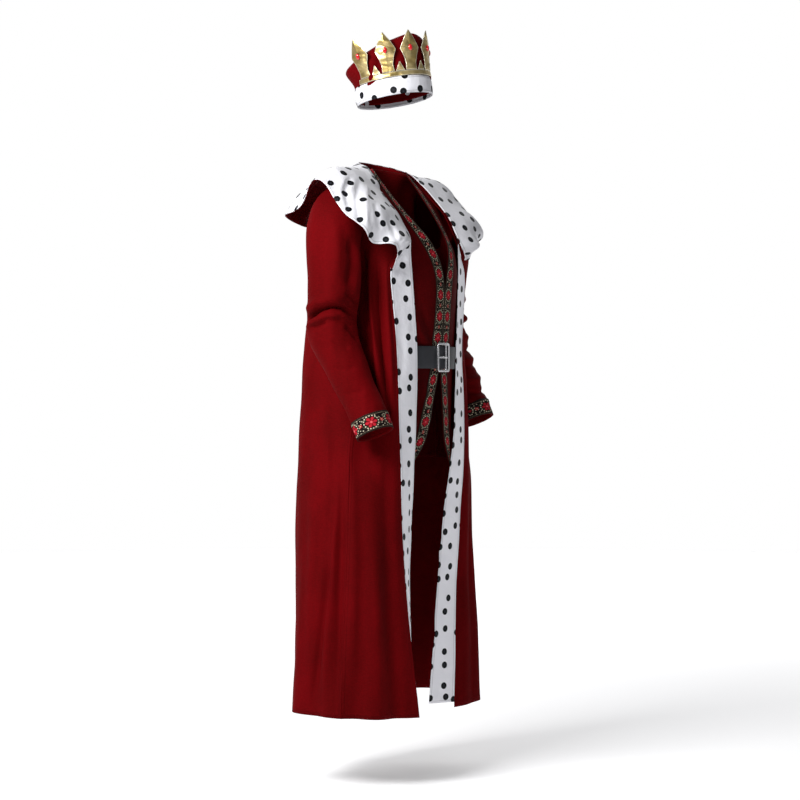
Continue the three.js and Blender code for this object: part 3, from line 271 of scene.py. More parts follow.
def regrid(made):
    """Dissolves the diagonals of a grid of triangles, each found from its neighbour's. The
    triangles round a pole stay."""
    corners = [v for v in made.verts if len(v.link_edges) == 2]
    if corners:
        first = corners[0].link_faces[0]
        start = next(e for e in first.edges if corners[0] not in e.verts)
    else:
        def slant_share(face):
            lengths = sorted(e.calc_length() for e in face.edges if not e.is_boundary)
            return lengths[-1] / lengths[0]

        rims = [f for f in made.faces if any(e.is_boundary for e in f.edges)]
        first = max(rims, key=slant_share)
        start = max((e for e in first.edges if not e.is_boundary), key=lambda e: e.calc_length())
    crowded = {v for v in made.verts if len(v.link_edges) > POLE_EDGES}
    diagonals = {first: start}
    queue = [first]
    for face in queue:
        slant = diagonals[face]
        for edge in face.edges:
            for other in edge.link_faces:
                if other in diagonals or crowded.intersection(other.verts):
                    continue
                if edge is slant:
                    diagonals[other] = slant
                else:
                    far = next(v for v in edge.verts if v not in slant.verts)
                    diagonals[other] = next(e for e in other.edges
                                            if e is not edge and far in e.verts)
                queue.append(other)
    each_once = list(dict.fromkeys(diagonals.values()))
    bmesh.ops.dissolve_edges(made, edges=each_once, use_verts=False)


def modified(piece, kind, settings):
    """Adds a modifier and applies it."""
    modifier = piece.modifiers.new(kind.lower(), kind)
    for key, value in settings.items():
        setattr(modifier, key, value)
    bpy.context.view_layer.objects.active = piece
    bpy.ops.object.modifier_apply(modifier=modifier.name)


def finer(piece, levels, kind="CATMULL_CLARK"):
    modified(piece, "SUBSURF", {"levels": levels, "render_levels": levels,
                                "subdivision_type": kind, "boundary_smooth": "PRESERVE_CORNERS"})


def points_of(piece, what="co"):
    flat = np.zeros(len(piece.data.vertices) * 3)
    piece.data.vertices.foreach_get(what, flat)
    return flat.reshape(-1, 3)


def push(piece, distance):
    """Moves each point along its normal by its own distance."""
    moved = points_of(piece) + points_of(piece, "normal") * np.asarray(distance)[:, None]
    piece.data.vertices.foreach_set("co", moved.ravel())
    piece.data.update()


def stroke_depth(places, strokes):
    """How far strokes press points of a plane: each is a width, a depth that is outwards where
    positive, and the points it runs through, and it fades out towards its ends."""
    total = np.zeros(len(places))
    for width, depth, *line in strokes:
        line = np.array(line, float)
        steps = np.linalg.norm(np.diff(line, axis=0), axis=1)
        run = np.concatenate([[0], np.cumsum(steps)])
        nearest = np.full(len(places), np.inf)
        along = np.zeros(len(places))
        for k, step in enumerate(steps):
            way = (line[k + 1] - line[k]) / step
            t = np.clip((places - line[k]) @ way, 0, step)
            far = np.linalg.norm(places - line[k] - t[:, None] * way, axis=1)
            closer = far < nearest
            nearest[closer] = far[closer]
            along[closer] = (run[k] + t[closer]) / run[-1]
        fade = np.clip(np.minimum(along, 1 - along) * 4, 0, 1)
        total += depth * np.exp(-((nearest / width) ** 2)) * fade * fade * (3 - 2 * fade)
    return total


def crease(piece, turn, strokes):
    """Presses strokes drawn on the view from one side, in mm along the view and above the floor,
    into what faces that side."""
    side = Vector((math.sin(math.radians(turn)), -math.cos(math.radians(turn)), 0))
    right = Vector((math.cos(math.radians(turn)), math.sin(math.radians(turn)), 0))
    points = points_of(piece)
    places = np.stack([points @ np.array(right), points[:, 2] - FLOOR_Z], axis=1) * 1000
    facing = np.clip(points_of(piece, "normal") @ np.array(side) * 2.5, 0, 1)
    push(piece, stroke_depth(places, strokes) * facing * 0.001)


def ripple(piece, size, height):
    """Uneven low waves, longer in the direction where size is larger."""
    scale = 1 / np.array(size)
    push(piece, [height * noise.noise(Vector(place)) for place in points_of(piece) * scale])


def seen(x, y):
    """Place on the camera's view of a point 250 mm nearer than the neck, from its photo pixel."""
    millimetre_per_pixel = 2.44
    return ((x - 395) * millimetre_per_pixel, 949 + (400 - y) * millimetre_per_pixel)


def edge_distance(piece):
    """Stores each point's distance from the cloth's edge, for hems and seams."""
    rim = bmesh.new()
    rim.from_mesh(piece.data)
    ends = [[v.co for v in e.verts] for e in rim.edges if e.is_boundary]
    samples = [a.lerp(b, k / 4) for a, b in ends for k in range(4)]
    tree = kdtree.KDTree(len(samples))
    for index, sample in enumerate(samples):
        tree.insert(sample, index)
    tree.balance()
    rim.free()
    found = [tree.find(v.co)[2] for v in piece.data.vertices]
    piece.data.attributes.new("edge", "FLOAT", "POINT").data.foreach_set("value", found)


def sewn(piece, thickness, material, slot, *nodes):
    """Gives a sheet its thickness and finish, and lets it stand for its CAD nodes."""
    if thickness:
        edge_distance(piece)
        modified(piece, "SOLIDIFY", {"thickness": thickness, "offset": -1})
    piece.data.materials.clear()
    piece.data.materials.append(material)
    piece.data.polygons.foreach_set("use_smooth", [True] * len(piece.data.polygons))
    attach(piece, "root")
    if nodes:
        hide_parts(*nodes)


# The strokes follow the folds seen on the right side; the other sides have folds of like size.
RIGHT_STROKES = [
    (16, -6, seen(340, 460), seen(340, 540), seen(338, 620), seen(335, 705)),
    (7, -6, seen(342, 450), seen(340, 540), seen(338, 620), seen(335, 725)),
    (9, 8, seen(336, 500), seen(333, 570), seen(328, 640), seen(324, 722)),
    (9, -10, seen(331, 540), seen(325, 600), seen(318, 660), seen(311, 718)),
    (16, 5, seen(350, 430), seen(354, 560), seen(352, 718)),
    (16, -3, seen(374, 430), seen(382, 520), seen(390, 640), seen(398, 712)),
    (12, 2, seen(376, 560), seen(380, 640), seen(382, 718)),
    (12, -4, seen(304, 470), seen(304, 600), seen(301, 712)),
    (8, -14, seen(362, 236), seen(363, 290), seen(367, 340), seen(375, 385)),
    (7, 9, seen(369, 240), seen(370, 300), seen(375, 350), seen(384, 410)),
    (8, -14, seen(377, 244), seen(379, 300), seen(384, 360), seen(391, 440)),
    (6, 7, seen(386, 250), seen(388, 320), seen(393, 400)),
    (10, 4, seen(318, 380), seen(326, 420), seen(330, 500)),
    (9, -4, seen(335, 420), seen(331, 470), seen(328, 560)),
]
BACK_STROKES = [
    (20, -16, (-30, 1220), (-38, 900), (-30, 500), (-44, 100)),
    (22, 12, (35, 1240), (48, 900), (38, 480), (60, 100)),
    (14, -13, (92, 1040), (100, 700), (88, 400), (104, 100)),
    (16, 11, (-100, 1060), (-92, 760), (-112, 420), (-100, 100)),
    (12, -11, (-160, 960), (-166, 600), (-176, 300), (-170, 100)),
    (14, -13, (160, 1100), (172, 760), (168, 430), (188, 100)),
    (12, 7, (214, 800), (224, 500), (240, 100)),
    (13, 7, (-226, 760), (-236, 420), (-250, 100)),
]
LEFT_STROKES = [
    (15, -8, (-20, 860), (-24, 600), (-14, 350), (-26, 140)),
    (14, 6, (24, 800), (30, 500), (44, 140)),
    (11, -6, (78, 900), (74, 640), (88, 300), (84, 140)),
    (12, -5, (-82, 760), (-90, 480), (-84, 140)),
    (9, -6, (96, 1290), (98, 1180), (92, 1040)),
    (8, 5, (118, 1280), (116, 1150), (108, 980)),
]


def hang(piece):
    """Presses the robe's folds into one of its panels."""
    crease(piece, -57, RIGHT_STROKES)
    crease(piece, 180, BACK_STROKES)
    crease(piece, 75, LEFT_STROKES)
    ripple(piece, (0.06, 0.06, 0.45), 0.005)
    ripple(piece, (0.03, 0.03, 0.10), 0.0014)


NECK_TUCK = 0.004
NECK_TUCK_START = -0.115
for node in ("robe_back", "robe_front_right", "robe_front_left"):
    panel = outer_sheet(node, node + "_cloth")
    finer(panel, 3)
    hang(panel)
    if node == "robe_back":
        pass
    else:
        under_collar = np.clip((points_of(panel)[:, 2] - NECK_TUCK_START) / 0.03, 0, 1)
        push(panel, -NECK_TUCK * under_collar)
    sewn(panel, CLOTH, WINE_VELVET, "robe_velvet", node)


# Sleeves: wine velvet set into the armholes, bent at the elbows, where the cloth bunches into an
# arched crease and a few short ones.
SLEEVE_STROKES = [
    (4.5, -18, seen(300, 327), seen(312, 316), seen(320, 311), seen(332, 308), seen(343, 309),
     seen(361, 319)),
    (7, 10, seen(301, 334), seen(314, 322), seen(326, 316), seen(340, 315), seen(358, 323)),
    (11, 11, seen(304, 314), seen(318, 302), seen(332, 299), seen(347, 302)),
    (5, -6, seen(309, 326), seen(318, 327), seen(328, 322)),
    (6, -6, seen(345, 292), seen(353, 298), seen(361, 303)),
    (6, -6, seen(344, 325), seen(352, 330), seen(362, 342)),
    (7, -3, seen(330, 340), seen(338, 346), seen(352, 348)),
    (7, -3, seen(334, 366), seen(344, 370), seen(358, 368)),
    (7, -3, seen(344, 392), seen(352, 394), seen(366, 390)),
    (13, -5, seen(322, 225), seen(320, 260), seen(326, 300)),
    (12, 4, seen(336, 220), seen(338, 255), seen(334, 290)),
    (8, -7, seen(351, 236), seen(352, 262), seen(348, 290)),
    (7, 5, seen(358, 240), seen(359, 268), seen(354, 300)),
    (6, -4, seen(361, 300), seen(354, 306), seen(346, 305)),
]
LEFT_SLEEVE_STROKES = [
    (5, -14, (-70, 1188), (-30, 1178), (5, 1182), (40, 1200), (74, 1214)),
    (9, 9, (-66, 1166), (-20, 1156), (20, 1160), (62, 1180)),
    (9, 7, (-60, 1214), (-10, 1202), (36, 1222)),
    (6, -9, (-90, 1128), (-50, 1122), (-6, 1134)),
    (7, 6, (-90, 1104), (-58, 1098), (-16, 1104)),
    (6, -9, (-112, 1074), (-70, 1066), (-26, 1078)),
    (8, 6, (-112, 1050), (-78, 1044), (-40, 1052)),
    (6, -7, (-134, 1024), (-90, 1012), (-48, 1026)),
    (8, 4, (-134, 1000), (-90, 992), (-60, 1002)),
    (6, -5, (-150, 974), (-108, 964), (-70, 976)),
    (11, -4, (-14, 1420), (-6, 1340), (4, 1270)),
    (11, 4, (26, 1430), (30, 1350), (30, 1280)),
]
FAR_SLEEVE_STROKES = [
    (9, 5, (60, 1170), (180, 1160), (330, 1172)),
    (6, -8, (60, 1144), (180, 1138), (330, 1150)),
    (10, 7, (60, 1116), (190, 1106), (340, 1122)),
    (6, -8, (60, 1086), (190, 1072), (350, 1090)),
    (7, 4, (80, 1064), (200, 1052), (350, 1066)),
    (5, -4, (90, 1046), (200, 1036), (360, 1048)),
    (10, 6, (90, 1018), (220, 1002), (360, 1020)),
    (6, -6, (100, 984), (220, 968), (380, 990)),
    (7, 3, (100, 956), (230, 944), (380, 962)),
]
UNDERSIDE_STROKES = [(width, 0.8 * depth, *[(-across, height - 6) for across, height in line])
                     for width, depth, *line in LEFT_SLEEVE_STROKES]
sleeve_cloths = {}
for side, strokes, turn in (("right", SLEEVE_STROKES, -57), ("left", LEFT_SLEEVE_STROKES, 80)):
    node = "sleeve_" + side
    low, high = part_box(node)
    sleeve = outer_sheet(node, node + "_cloth", (low + high) / 2)
    finer(sleeve, 3)
    crease(sleeve, turn, strokes)
    crease(sleeve, turn + 130, UNDERSIDE_STROKES)
    if side == "left":
        crease(sleeve, 10, FAR_SLEEVE_STROKES)
    ripple(sleeve, (0.05, 0.05, 0.12), 0.003)
    ripple(sleeve, (0.02, 0.02, 0.05), 0.001)
    sleeve_cloths[node] = sleeve


# Front bands: white satin printed with black dots, 75 mm wide, sewn to the front edges of the
# robe from the collar to the hem.
def cut_layout(piece):
    """Lays the cloth out flat, at its real size, as the layout that its print follows."""
    bpy.ops.object.select_all(action="DESELECT")
    piece.select_set(True)
    bpy.context.view_layer.objects.active = piece
    piece.data.uv_layers.new(name="cut")
    bpy.ops.object.mode_set(mode="EDIT")
    bpy.ops.mesh.select_all(action="SELECT")
    bpy.ops.uv.unwrap(method="ANGLE_BASED", margin=0)
    bpy.ops.object.mode_set(mode="OBJECT")
    piece.select_set(False)
    layout = np.zeros(len(piece.data.loops) * 2)
    piece.data.uv_layers["cut"].data.foreach_get("uv", layout)
    layout = layout.reshape(-1, 2)
    flat_area = 0
    for face in piece.data.polygons:
        x, y = layout[face.loop_start:face.loop_start + face.loop_total].T
        flat_area += abs(np.dot(x, np.roll(y, -1)) - np.dot(y, np.roll(x, -1))) / 2
    area = sum(face.area for face in piece.data.polygons)
    layout *= math.sqrt(area / flat_area)
    piece.data.uv_layers["cut"].data.foreach_set("uv", layout.ravel())


DOT_PITCH = 0.044
HEM_INSET = 0.0055


def dotted_satin(name, painted_light_scale):
    """White satin with black dots printed at uneven distances and a stitched hem. Its white is scaled
    by a factor for each piece, which paints light or shade onto it.
    """

    def white_thread(share):
        return dye(*[share * painted_light_scale * value for value in (242, 242, 248)])

    satin = Finish(name, {"Specular IOR Level": 0.16})
    layout = satin.node("UVMap", {"uv_map": "cut"}, {})
    place = satin.node("TexCoord", {}, {}, "Object")
    spots = {"voronoi_dimensions": "2D"}
    inputs = {"Vector": layout, "Scale": 1 / DOT_PITCH, "Randomness": 0.5}
    far = satin.node("TexVoronoi", spots, inputs, "Distance") * DOT_PITCH
    frayed = far + (satin.grain(place, 420, 2) - 0.5) * 0.0012
    ink = 1 - satin.between(frayed, 0.0083, 0.0092)
    heart = 1 - satin.between(frayed, 0.001, 0.0045)
    weave = satin.grain(satin.stretched(layout, (300, 1500, 1)), 1, 2)
    white = satin.mix(satin.grain(place, 9, 3), white_thread(0.93), white_thread(1))
    black = satin.mix(heart * 0.35, dye(13, 14, 18), dye(60, 62, 72))
    edge = satin.node("Attribute", {"attribute_name": "edge"}, {}, "Fac")
    hem = satin.between(abs(edge - HEM_INSET), 0.0011, 0.0003)
    white = satin.mix(hem * 0.6, white, white_thread(0.72))
    satin.feed("Base Color", satin.mix(ink, white, black))
    satin.feed("Roughness", 0.40 + weave * 0.12 + ink * 0.1)
    wrinkles = satin.grain(place, 38, 3)
    satin.emboss(weave * 0.05 + wrinkles - hem * 0.25, 0.0030)
    return satin.material


SATIN = 0.0012
BAND_TOP = -0.23
BAND_INNER = 0.113
BAND_OUTER = 0.144
TONGUE_OUTER_LENGTH = 0.003
TONGUE_INNER_LENGTH = 0.032


def slanted_top(band):
    """Carries the band's top on as a slanted tongue, up along the neckline and under the collar."""
    made = bmesh.new()
    made.from_mesh(band.data)
    top = [e for e in made.edges if e.is_boundary and min(v.co.z for v in e.verts) > BAND_TOP]
    grown = bmesh.ops.extrude_edge_only(made, edges=top)["geom"]
    for item in grown:
        if isinstance(item, bmesh.types.BMVert):
            inner = (BAND_OUTER - abs(item.co.x)) / (BAND_OUTER - BAND_INNER)
            longer = TONGUE_INNER_LENGTH - TONGUE_OUTER_LENGTH
            item.co += Vector((0, -SATIN, TONGUE_OUTER_LENGTH + longer * inner))
    made.normal_update()
    for edge in top:
        old, new = sorted(edge.link_faces, key=lambda f: f in grown)
        if old.normal.dot(new.normal) < 0:
            new.normal_flip()
    made.to_mesh(band.data)
    made.free()


# The bands' satin is the same cloth as the collar's, painted lighter as painted light.
BAND_SATIN_PAINTED_LIGHT = dotted_satin("band_satin_painted_light", 1.04)
BAND_STROKES = [
    (7, -3, seen(392, 262), seen(397, 256), seen(403, 248)),
    (6, -3, seen(395, 272), seen(401, 264), seen(407, 254)),
    (6, 2, seen(399, 282), seen(405, 270)),
    (8, -2, seen(397, 330), seen(404, 350), seen(402, 380)),
    (8, 2, seen(405, 420), seen(403, 470), seen(407, 520)),
]
FAR_BAND_STROKES = [
    (9, -4, (60, 760), (92, 705), (104, 640)),
    (9, 4, (58, 720), (84, 660), (110, 560)),
    (7, -3, (66, 640), (96, 590), (112, 540)),
    (8, -3, (90, 1290), (104, 1262), (120, 1240)),
    (9, 3, (80, 420), (96, 360), (110, 300)),
]
for side in ("right", "left"):
    node = "front_band_" + side
    band = outer_sheet(node, node + "_cloth")
    slanted_top(band)
    cut_layout(band)
    finer(band, 4)
    hang(band)
    crease(band, -57, BAND_STROKES)
    crease(band, -20, FAR_BAND_STROKES)
    sewn(band, SATIN, BAND_SATIN_PAINTED_LIGHT, "dotted_satin", node)


# Cape collar: dotted satin over a wine lining, cut in a wide ring and sewn to the neckline and the
# tops of the bands, so that it falls over the shoulders and flutes towards its edge.
# The collar's satin, also used on the hat band, is painted darker than the bands' as painted shade.
COLLAR_SATIN_PAINTED_SHADE = dotted_satin("collar_satin_painted_shade", 0.91)
COLLAR_LINING = velvet("collar_lining", dye(94, 5, 12), dye(74, 3, 8))
COLLAR_STROKES = [
    (8, -4.5, seen(360, 172), seen(357, 200), seen(362, 234)),
    (7, 4, seen(367, 178), seen(366, 205), seen(369, 236)),
    (7, -4, seen(374, 198), seen(378, 214), seen(381, 232)),
    (8, 3, seen(345, 172), seen(340, 190), seen(346, 214)),
    (7, -4, seen(352, 170), seen(346, 188), seen(350, 212)),
    (7, -3, seen(388, 214), seen(394, 230), seen(401, 248)),
    (6, 3, seen(390, 214), seen(398, 234), seen(405, 250)),
    (6, -4, seen(391, 252), seen(399, 244), seen(405, 236)),
    (6, -3, seen(320, 188), seen(312, 200), seen(300, 214)),
    (6, 3, seen(326, 186), seen(318, 200), seen(310, 212)),
]
COLLAR_BACK_STROKES = [
    (10, -6, (-70, 1540), (-84, 1470), (-104, 1400)),
    (10, 5, (-30, 1545), (-34, 1470), (-40, 1390)),
    (9, -5, (12, 1545), (10, 1470), (18, 1390)),
    (10, -6, (66, 1540), (88, 1470), (120, 1400)),
    (9, 5, (110, 1520), (140, 1460), (170, 1400)),
    (9, 4, (-112, 1520), (-140, 1460), (-160, 1400)),
]
COLLAR_LEFT_STROKES = [
    (9, -5, (-70, 1500), (-60, 1460), (-78, 1400)),
    (9, 4, (-20, 1520), (-24, 1480), (-30, 1420)),
    (9, -5, (36, 1520), (44, 1490), (60, 1440)),
]
COLLAR_MIDDLE = (0, 0, -0.5)
LINING_GAP = 0.0016
LEFT_TIP_Z = -0.205
TIP_TURN = Vector((-0.009, 0.012, 0.015))
TIP_SMOOTHING = {"factor": 0.5, "iterations": 50, "vertex_group": "left_tip"}
collar = outer_sheet("cape_top", "cape_top_cloth", COLLAR_MIDDLE)
cut_layout(collar)
finer(collar, 3)
crease(collar, -57, COLLAR_STROKES)
crease(collar, 180, COLLAR_BACK_STROKES)
crease(collar, 75, COLLAR_LEFT_STROKES)
ripple(collar, (0.05, 0.05, 0.05), 0.003)

# The collar's left tip is drawn up by half of what hangs below LEFT_TIP_Z, turned up a little over
# the sleeve, and smoothed, so that it ends round.
places = points_of(collar)
drop = LEFT_TIP_Z - places[:, 2]
places[:, 2] += 0.5 * np.clip(drop, 0, 1) * np.clip((places[:, 0] - 0.08) / 0.03, 0, 1)
turned_up = np.clip((places[:, 0] - 0.16) / 0.05, 0, 1) * np.clip(drop / 0.055 + 1, 0, 1)
places += np.outer(turned_up, TIP_TURN)
collar.data.vertices.foreach_set("co", places.ravel())
at_tip = np.clip((places[:, 0] - 0.11) / 0.03, 0, 1) * np.clip((-0.16 - places[:, 2]) / 0.03, 0, 1)
left_tip = collar.vertex_groups.new(name="left_tip")
for index, share in enumerate(at_tip):
    left_tip.add([index], float(share), "ADD")
modified(collar, "SMOOTH", TIP_SMOOTHING)
collar.vertex_groups.clear()
lining = bpy.data.objects.new("cape_lining_cloth", collar.data.copy())
bpy.context.scene.collection.objects.link(lining)
push(lining, [-LINING_GAP] * len(lining.data.vertices))
sewn(collar, SATIN, COLLAR_SATIN_PAINTED_SHADE, "dotted_satin", "cape_top")
sewn(lining, SATIN, COLLAR_LINING, "collar_lining", "cape_lining")


# Waistcoat: a back and two fronts of the same velvet as the robe, to the hip, given darker colours
# than the robe's as painted shade under the robe. The fronts meet at the waist under the belt, and
# part above it in a V and below it.
# A darker copy of the robe's velvet: painted shade, not a darker cloth.
WAISTCOAT_VELVET_PAINTED_SHADE = velvet("waistcoat_velvet", dye(80, 4, 10), dye(56, 2, 6))
VEST_STROKES = [
    (9, -5, seen(420, 300), seen(428, 322), seen(436, 345)),
    (8, 4, seen(414, 310), seen(420, 330), seen(430, 348)),
    (8, -4, seen(412, 335), seen(420, 342), seen(432, 350)),
    (8, -4, seen(414, 372), seen(418, 392), seen(420, 420)),
    (9, 4, seen(422, 372), seen(427, 400), seen(428, 430)),
]
VEST_BACK_STROKES = [
    (14, -4, (-60, 1040), (-50, 1150), (-70, 1260)),
    (14, -4, (70, 1040), (58, 1160), (80, 1270)),
    (12, -4, (-90, 1030), (-70, 940), (-84, 820)),
    (12, -4, (50, 1030), (66, 930), (60, 820)),
    (12, 4, (0, 1030), (6, 930), (-4, 820)),
]
VEST_BACK_CUT = (0.50, 0.70)
VEST_FRONT_CUT = (0.25, 0.74)
vest_cloths = {}
for node in ("vest_back", "vest_front_right", "vest_front_left"):
    panel = outer_sheet(node, node + "_cloth")
    finer(panel, 2 if node == "vest_back" else 3)
    crease(panel, -57, VEST_STROKES)
    crease(panel, 180, VEST_BACK_STROKES)
    ripple(panel, (0.07, 0.07, 0.16), 0.003)
    vest_cloths[node] = panel
    cut = VEST_BACK_CUT if node == "vest_back" else VEST_FRONT_CUT


# Woven trim: a jacquard ribbon with red rosettes in rings of ivory dots, small flowers and leaves
# on a dark ground between rope borders, sewn along the waistcoat's front edges and round its
# neck, and wider round the sleeve ends.
def ribbon_layout(piece, width):
    """Lays a strip of quads out straight, at its real size, its length along the first axis and its
    middle on zero."""
    bpy.ops.object.select_all(action="DESELECT")
    piece.select_set(True)
    bpy.context.view_layer.objects.active = piece
    bpy.ops.object.mode_set(mode="EDIT")
    strip = bmesh.from_edit_mesh(piece.data)
    layout = strip.loops.layers.uv.new("cut")
    strip.faces.ensure_lookup_table()
    first = strip.faces[0]
    strip.faces.active = first
    wide = first.loops[0].edge.calc_length()
    tall = first.loops[1].edge.calc_length()
    for loop, corner in zip(first.loops, ((0, 0), (wide, 0), (wide, tall), (0, tall))):
        loop[layout].uv = corner
    bmesh.update_edit_mesh(piece.data)
    bpy.ops.mesh.select_all(action="SELECT")
    bpy.context.scene.tool_settings.use_uv_select_sync = True
    bpy.ops.uv.follow_active_quads(mode="LENGTH_AVERAGE")
    bpy.ops.object.mode_set(mode="OBJECT")
    piece.select_set(False)
    flat = np.zeros(len(piece.data.loops) * 2)
    piece.data.uv_layers["cut"].data.foreach_get("uv", flat)
    flat = flat.reshape(-1, 2)
    if np.ptp(flat[:, 1]) > np.ptp(flat[:, 0]):
        flat = flat[:, ::-1].copy()
    flat -= flat.mean(axis=0)
    length = sum(face.area for face in piece.data.polygons) / width
    flat *= (length / np.ptp(flat[:, 0]), width / np.ptp(flat[:, 1]))
    piece.data.uv_layers["cut"].data.foreach_set("uv", flat.ravel())


TRIM_WIDTH = 0.035


def jacquard(name, width, repeat):
    """Ribbon of a given width whose rosettes repeat at a given distance."""
    ribbon = Finish(name, {"Roughness": 0.75, "Specular IOR Level": 0.06})
    layout = ribbon.node("UVMap", {"uv_map": "cut"}, {})
    along = ribbon.node("SeparateXYZ", {}, {"Vector": layout}, "X")
    across = ribbon.node("SeparateXYZ", {}, {"Vector": layout}, "Y")
    scale = width / TRIM_WIDTH

    def wrapped(shift):
        turns = along / repeat + shift
        return (ribbon.math("FRACT", turns) - 0.5) * repeat

    def flower(x, y, petals):
        """Distance from a flower's middle, and a wave round it with a crest for each petal."""
        far = ribbon.math("SQRT", x * x + y * y)
        return far, ribbon.math("COSINE", ribbon.math("ARCTAN2", y, x) * petals)

    def leaf(x, y, middle_x, middle_y):
        dx = (x - middle_x * scale) / (0.0042 * scale)
        dy = (y - middle_y * scale) / (0.0017 * scale)
        return dx * dx + dy * dy < 1

    x = wrapped(0)
    between_x = wrapped(0.5)
    far, lobes = flower(x, across, 6)
    rose = far < 0.0094 * scale + lobes * (0.0012 * scale)
    beads = flower(x, across, 16)[1]
    pearls = (abs(far - 0.0129 * scale) < 0.0010 * scale) * (beads > 0)
    spots = {"voronoi_dimensions": "2D"}
    inputs = {"Vector": layout, "Scale": 1 / (0.0058 * scale)}
    seeds = ribbon.node("TexVoronoi", spots, inputs, "Distance")
    pearls = pearls + (seeds < 0.17) * (far > 0.0150 * scale)
    bud_far, bud_lobes = flower(between_x, across, 5)
    bud = bud_far < 0.0034 * scale + bud_lobes * (0.0008 * scale)
    wave = ribbon.math("SINE", along * (2 * math.pi / repeat)) * 0.0075 * scale
    vine = (abs(across - wave) < 0.0010 * scale) + (abs(across + wave) < 0.0010 * scale)
    leaves = leaf(between_x, across, 0.008, 0.0065) + leaf(between_x, across, -0.008, -0.0065)
    leaves = leaves + leaf(between_x, across, 0.008, -0.0065) + leaf(between_x, across, -0.008, 0.0065)
    border = abs(across) > width / 2 - 0.0030 * scale
    twist = ribbon.math("FRACT", (along + abs(across)) * (1 / (0.0042 * scale))) < 0.55
    line = abs(abs(across) - (width / 2 - 0.0036 * scale)) < 0.0004 * scale

    weave = ribbon.grain(ribbon.stretched(layout, (2600, 900, 1)), 1, 2)
    colour = ribbon.mix(weave, dye(14, 11, 12), dye(32, 25, 24))
    greenery = ribbon.math("MINIMUM", vine + leaves, 1)
    colour = ribbon.mix(greenery * 0.85, colour, dye(62, 62, 50))
    colour = ribbon.mix(pearls, colour, dye(222, 210, 182))
    colour = ribbon.mix(bud, colour, dye(176, 44, 54))
    colour = ribbon.mix(bud_far < 0.0012 * scale, colour, dye(214, 190, 150))
    colour = ribbon.mix(rose, colour, dye(188, 40, 52))
    colour = ribbon.mix(rose * (lobes < -0.3) * (far > 0.0028 * scale), colour, dye(118, 18, 28))
    colour = ribbon.mix(far < 0.0019 * scale, colour, dye(226, 110, 112))
    rope = ribbon.mix(twist, dye(18, 15, 15), dye(54, 48, 42))
    colour = ribbon.mix(border, colour, rope)
    colour = ribbon.mix(line, colour, dye(112, 102, 84))
    ribbon.feed("Base Color", ribbon.mix(weave * 0.35, colour, dye(30, 24, 24)))
    raised = rose + pearls + bud + greenery + border * twist
    ribbon.emboss(raised * 0.5 + weave * 0.5, 0.0007)
    return ribbon.material


TRIM = 0.0012
CUFF_WIDTH = 0.045
VEST_TRIM = jacquard("vest_jacquard", TRIM_WIDTH, 0.046)
CUFF_TRIM = jacquard("cuff_jacquard", CUFF_WIDTH, 0.052)
TRIM_STAND = 0.0015
TRIM_CARRIERS = {
    "vest_trim_right": vest_cloths["vest_front_right"],
    "vest_trim_left": vest_cloths["vest_front_left"],
    "vest_trim_back": vest_cloths["vest_back"],
    "cuff_right": sleeve_cloths["sleeve_right"],
    "cuff_left": sleeve_cloths["sleeve_left"],
}
for node, carrier in TRIM_CARRIERS.items():
    low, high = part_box(node)
    if node.startswith("cuff"):
        middle, width, trim = (low + high) / 2, CUFF_WIDTH, CUFF_TRIM
    else:
        middle, width, trim = (0, 0, -0.4), TRIM_WIDTH, VEST_TRIM
    ribbon = outer_sheet(node, node + "_ribbon", middle)
    ribbon_layout(ribbon, width)
    finer(ribbon, 3)
    modified(ribbon, "SHRINKWRAP", {"target": carrier, "wrap_method": "NEAREST_SURFACEPOINT",
                                    "wrap_mode": "ABOVE_SURFACE", "offset": TRIM_STAND})
    sewn(ribbon, TRIM, trim, "woven_trim", node)
for node, panel in vest_cloths.items():
    # The waistcoat's velvet is painted darker, as painted shade.
    sewn(panel, CLOTH, WAISTCOAT_VELVET_PAINTED_SHADE, "waistcoat_velvet", node)
for node, sleeve in sleeve_cloths.items():
    sewn(sleeve, CLOTH, WINE_VELVET, "robe_velvet", node)


# Belt: a strap of matte black imitation leather, 56 mm wide, with its end laid over its start
# behind the buckle.
def leather(name):
    """Fine pebbled grain with a dull surface."""
    hide = Finish(name, {"Roughness": 0.5, "Specular IOR Level": 0.4})
    place = hide.node("TexCoord", {}, {}, "Object")
    pebbles = hide.node("TexVoronoi", {}, {"Vector": place, "Scale": 900}, "Distance")
    cloudy = hide.grain(place, 25, 3)
    hide.feed("Base Color", hide.mix(cloudy, dye(30, 31, 34), dye(52, 54, 60)))
    hide.feed("Roughness", 0.42 + cloudy * 0.2)
    hide.emboss(pebbles * 0.5 + cloudy * 0.5, 0.0004)
    return hide.material


STRAP = 0.0024
WAIST_MIDDLE = (0, -0.02, -0.484)
BELT_LEATHER = leather("belt_leather")
for node in ("belt_strap", "belt_tongue"):
    strap = outer_sheet(node, node + "_hide", WAIST_MIDDLE)
    finer(strap, 2)
    modified(strap, "SOLIDIFY", {"thickness": STRAP, "offset": -1})
    modified(strap, "BEVEL", {"width": 0.0006, "segments": 2, "limit_method": "ANGLE"})
    sewn(strap, 0, BELT_LEATHER, "belt_leather", node)


